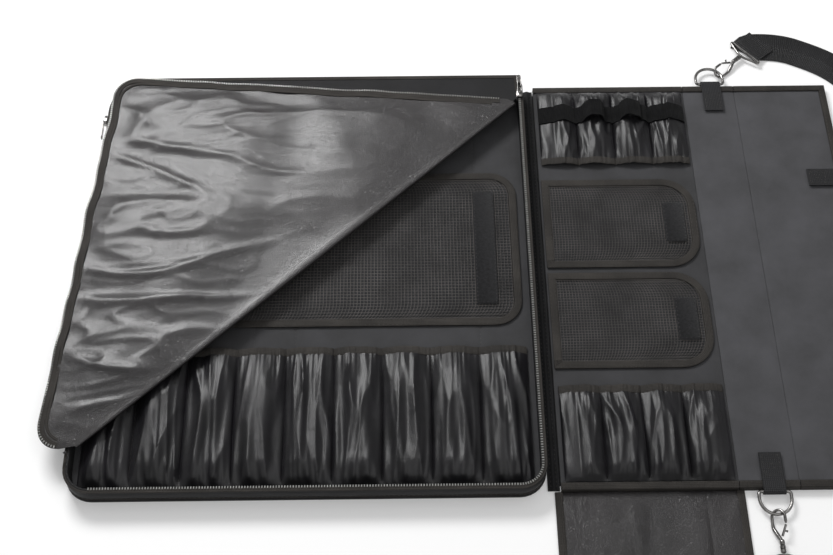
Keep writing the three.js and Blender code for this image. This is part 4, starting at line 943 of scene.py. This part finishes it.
guard_tape = edge_tape("guard_tape", guard_plan, 1.5, "guard_flap", "guard_binding")
guard_seam = [(237.6, -236), (237.6, -336.2), (402.4, -336.2), (402.4, -236)]
put_stitches("guard_stitches", level(guard_seam, 2.95), "guard_flap")
for k, s in enumerate(GUARD_SEAMS):
    put_stitches(f"guard_seam_{k}", [(s, -333, 2.2), (s, -238, 2.2)], "guard_flap")


# The hardware at each end of the spine: a sewn webbing tab holds a ring, and a swivel snap hook
# joins the ring to the strap's eye. The metal is round nickel wire.
END_X, RING_Y, RING_Z, RING_CENTRE, HOOK_REACH = 435, 238.8, 6.5, 7, 17.4
ENDS = {"back": (1, -50), "front": (-1, 0)}


def end_matrix(side, yaw):
    """The places of the ring and of the hook at one end, as the solids have them."""
    end = Matrix.Translation((END_X, 0, 0)) @ Matrix.Rotation(0 if side > 0 else math.pi, 4, "Z")
    ring = end @ Matrix.Translation((0, RING_Y, RING_Z)) @ Matrix.Rotation(math.radians(-2), 4, "X")
    swung = ring @ Matrix.Translation((0, RING_CENTRE, 0)) @ Matrix.Rotation(math.radians(yaw), 4, "Z")
    reach = swung @ Matrix.Translation((0, HOOK_REACH, 0))
    return ring, reach, reach @ Matrix.Rotation(math.radians(38), 4, "Y")


def smooth_line(points, steps):
    """A curve through points, with even steps."""
    p = np.asarray(points, float)
    last = len(p) - 1
    out = []
    for i in range(last):
        a, b = p[i], p[i + 1]
        va, vb = (b - p[max(i - 1, 0)]) / 2, (p[min(i + 2, last)] - a) / 2
        cubic, square = 2 * a - 2 * b + va + vb, 3 * b - 3 * a - 2 * va - vb
        for s in np.arange(12) / 12:
            out.append(cubic * s ** 3 + square * s ** 2 + va * s + a)
    out = np.array(out + [p[last]])
    return spaced(out, np.linalg.norm(np.diff(out, axis=0), axis=1).sum() / steps)


def end_hardware(name, side, yaw):
    ring, reach, rolled = end_matrix(side, yaw)
    hook, gate_body = "hook_" + name, "gate_" + name
    d_shape = [(x, 0, 0) for x in np.linspace(-12, 12, 9)]
    d_shape += [(12 + 3 * math.sin(a), 3 - 3 * math.cos(a), 0) for a in np.linspace(0.2, math.pi / 2, 5)]
    d_shape += [(15 * math.cos(a), 7 + 15 * math.sin(a), 0) for a in np.linspace(0, math.pi, 33)]
    d_shape += [(-12 - 3 * math.sin(a), 3 - 3 * math.cos(a), 0) for a in np.linspace(math.pi / 2, 0.2, 5)]
    wire_mesh(name + "_d_ring", d_shape, 1.6, "ring_" + name, [name + "_ring"], True, ring, 16)
    spine_points = [(0.6, 21.9, 0), (3.97, 15, 0), (6.3, 9, 0)]
    spine_points += [(6.3 * math.cos(a), -6.3 * math.sin(a), 0) for a in np.linspace(0, math.pi, 17)]
    spine_points += [(-6.3, 3.5, 0), (-6.3, 6.9, 0)]
    jaw = smooth_line(spine_points, 70)
    thick = 1.4 + 0.75 * np.exp(-((np.linspace(0, 1, len(jaw)) - 0.12) / 0.16) ** 2)
    thick[-3:] = (1.3, 1.1, 0.8)
    wire_mesh(name + "_snap_jaw", jaw, thick, hook, [name + "_hook"], False, rolled, 14)
    barrel = [(0, 21.0, 0), (0, 21.6, 0), (0, 23, 0), (0, 24.5, 0), (0, 26.4, 0), (0, 26.8, 0), (0, 27.2, 0),
              (0, 29.6, 0), (0, 30, 0), (0, 30.4, 0), (0, 33.2, 0), (0, 34, 0)]
    widths = [1.2, 2.0, 2.5, 2.5, 2.2, 1.5, 2.6, 2.6, 1.9, 2.6, 2.6, 1.6]
    wire_mesh(name + "_swivel", barrel, widths, hook, (), False, rolled, 20)
    gate = [(-1.3, 18.5, 0), (-2.2, 16.4, 0), (-3.8, 13.2, 0), (-5.1, 10.4, 0), (-6.1, 8.2, 0)]
    wire_mesh(name + "_spring_gate", smooth_line(gate, 14), 1.15, gate_body, [name + "_gate"], False, rolled)
    knob = [(-4.5, 14.0, 0), (-5.6, 14.4, 0), (-6.7, 14.9, 0), (-7.0, 15.0, 0)]
    wire_mesh(name + "_gate_knob", knob, [0.8, 0.8, 1.2, 0.8], gate_body, (), False, rolled)
    half_eye = [(3.4, 35.9, 0), (5.2, 36.3, 0), (19, 41.2, 0), (20.1, 42.4, 0), (19.4, 43.9, 0),
                (10, 43.9, 0)]
    eye = [(-3.4, 35.9, 0)] + half_eye + [(-x, y, z) for x, y, z in half_eye[:0:-1]]
    eye = spaced(eye, 1.2, closed=True)
    wire_mesh(name + "_strap_eye", eye, 1.35, "spine_panel", [name + "_eye"], True, reach, 12)
    loop = [(3.0 * math.sin(a), 3.0 * math.cos(a)) for a in np.linspace(-0.5, 2 * math.pi - 2.64, 20)]
    profile = np.array([(-38, 3.0)] + [(y, 3.0) for y in np.linspace(-36, -2, 18)] + loop[4:])
    across, out = np.meshgrid(END_X + side * np.linspace(-10.5, 10.5, 15), side * (RING_Y + profile[:, 0]))
    high = np.repeat(RING_Z + profile[:, 1:], 15, axis=1)
    put_sheet(name + "_ring_tab", surface(across, out, high), 1.0, [WEBBING], "spine_panel", [name + "_tab"])
    strip = outline(425, 202, 445, 236.4, (0.6, 0.6, 0.6, 0.6), 2) * np.array([1, side])
    put_pad(name + "_ring_tab_back", [level(strip, 8.1), level(strip, 8.6)], WEBBING, "spine_panel")
    cross_stitches(name + "_tab_stitch", 427, side * 203, 443, side * 224, 9.5, "spine_panel")


for name, (side, yaw) in ENDS.items():
    end_hardware(name, side, yaw)


# The shoulder strap is one length of webbing, with a raised middle rib. It runs round the outer
# flap from eye to eye, and its ends are turned back through the eyes and sewn.
def beyond_hook(side, yaw, distance):
    """The place on the table at a distance from the ring's centre, in the hook's direction."""
    angle = math.radians(yaw) + (math.pi if side < 0 else 0)
    return (END_X - distance * math.sin(angle), side * (RING_Y + RING_CENTRE) + distance * math.cos(angle))


STRAP_START = HOOK_REACH + 34 + 2.8 + 1.25 + 8
STRAP_RIGHT = 638
strap_points = [beyond_hook(*ENDS["back"], STRAP_START + ahead) for ahead in (0, 14)]
strap_points += [(STRAP_RIGHT - back, y) for back, y in ((100, 288), (45, 248), (12, 160), (0, 40), (0, -90),
                                                         (16, -215), (58, -310), (118, -366), (177, -376))]
strap_points += [beyond_hook(*ENDS["front"], STRAP_START + ahead) for ahead in (20, 0)]
strap_line = smooth_line(strap_points, 300)
strap_section = [(-19, 0.5), (-18.7, 0.05), (18.7, 0.05), (19, 0.5), (18.9, 1.9), (18.2, 2.3), (2.6, 2.35),
                 (1.8, 2.75), (-1.8, 2.75), (-2.6, 2.35), (-18.2, 2.3), (-18.9, 1.9)]
STRAP = cloth("strap_webbing", (16, 16, 17), (30, 30, 32), 2.0, 0.5, 0.42, 0.35, "UV")
strap = put_sweep("carrying_strap", level(strap_line, 0), strap_section, STRAP, "spine_panel",
                  ["shoulder_strap"])
strap_left = left_of(strap_line)
for k, (offset, height) in enumerate(((-16.6, 2.3), (-1.2, 2.7), (1.2, 2.7), (16.6, 2.3))):
    seam = level(strap_line + strap_left * offset, height)
    put_stitches(f"strap_stitches_{k}", seam, "spine_panel", width=0.5)
turned_back = np.array([(0, 3.4), (0.02, 4.6), (0.06, 5.6), (0.12, 6.4), (0.2, 6.5), (0.32, 5.6), (0.5, 4.6),
                        (0.75, 4.1), (1, 3.9)])
for name, (side, yaw) in ENDS.items():
    a = np.array(beyond_hook(side, yaw, STRAP_START - 3.4))
    b = np.array(beyond_hook(side, yaw, STRAP_START + 24))
    across = unit(np.array([a[1] - b[1], b[0] - a[0]]))
    w, share = np.meshgrid(np.linspace(-17.6, 17.6, 13), turned_back[:, 0])
    place = a + (b - a) * share[..., None] + across * w[..., None]
    end_grid = surface(place[..., 0], place[..., 1], np.repeat(turned_back[:, 1:], 13, axis=1))
    put_sheet(f"{name}_strap_end", end_grid, 1.3, [STRAP], "spine_panel")
    seam = [a + (b - a) * 0.8 + across * w for w in (-16, 16)]
    put_stitches(f"{name}_strap_end_seam", level(seam, 4.1), "spine_panel")


# Two webbing tabs are sewn on the outer flap and stand out over its edge. They close the folded
# case with hook-and-loop tape.
TAB_LEFT, TAB_LENGTH = 523, 72
cu, cv = np.meshgrid(np.linspace(0, 1, 49), np.linspace(-1, 1, 13))
from_left = cu * TAB_LENGTH
tx = TAB_LEFT + from_left - 1.2 * np.clip(from_left - 69, 0, 3) * cv ** 4
tz = 9.4 + 0.5 * np.clip((from_left - 40) / 32, 0, 1) * np.sin(cu * 9) - 0.12 * cv ** 6
for name, y in (("back", 111), ("front", -111)):
    put_sheet("closing_webbing_" + name, surface(tx, y + 10.5 * cv, tz), 1.3, [WEBBING], "outer_flap",
              ["closing_tab_" + name])
    cross_stitches("closing_stitch_" + name, TAB_LEFT + 2, y - 8, TAB_LEFT + 18, y + 8, 9.45, "outer_flap")
    put_stitches("closing_hem_" + name, [(590, y - 8, 9.6), (590, y + 8, 9.6)], "outer_flap")
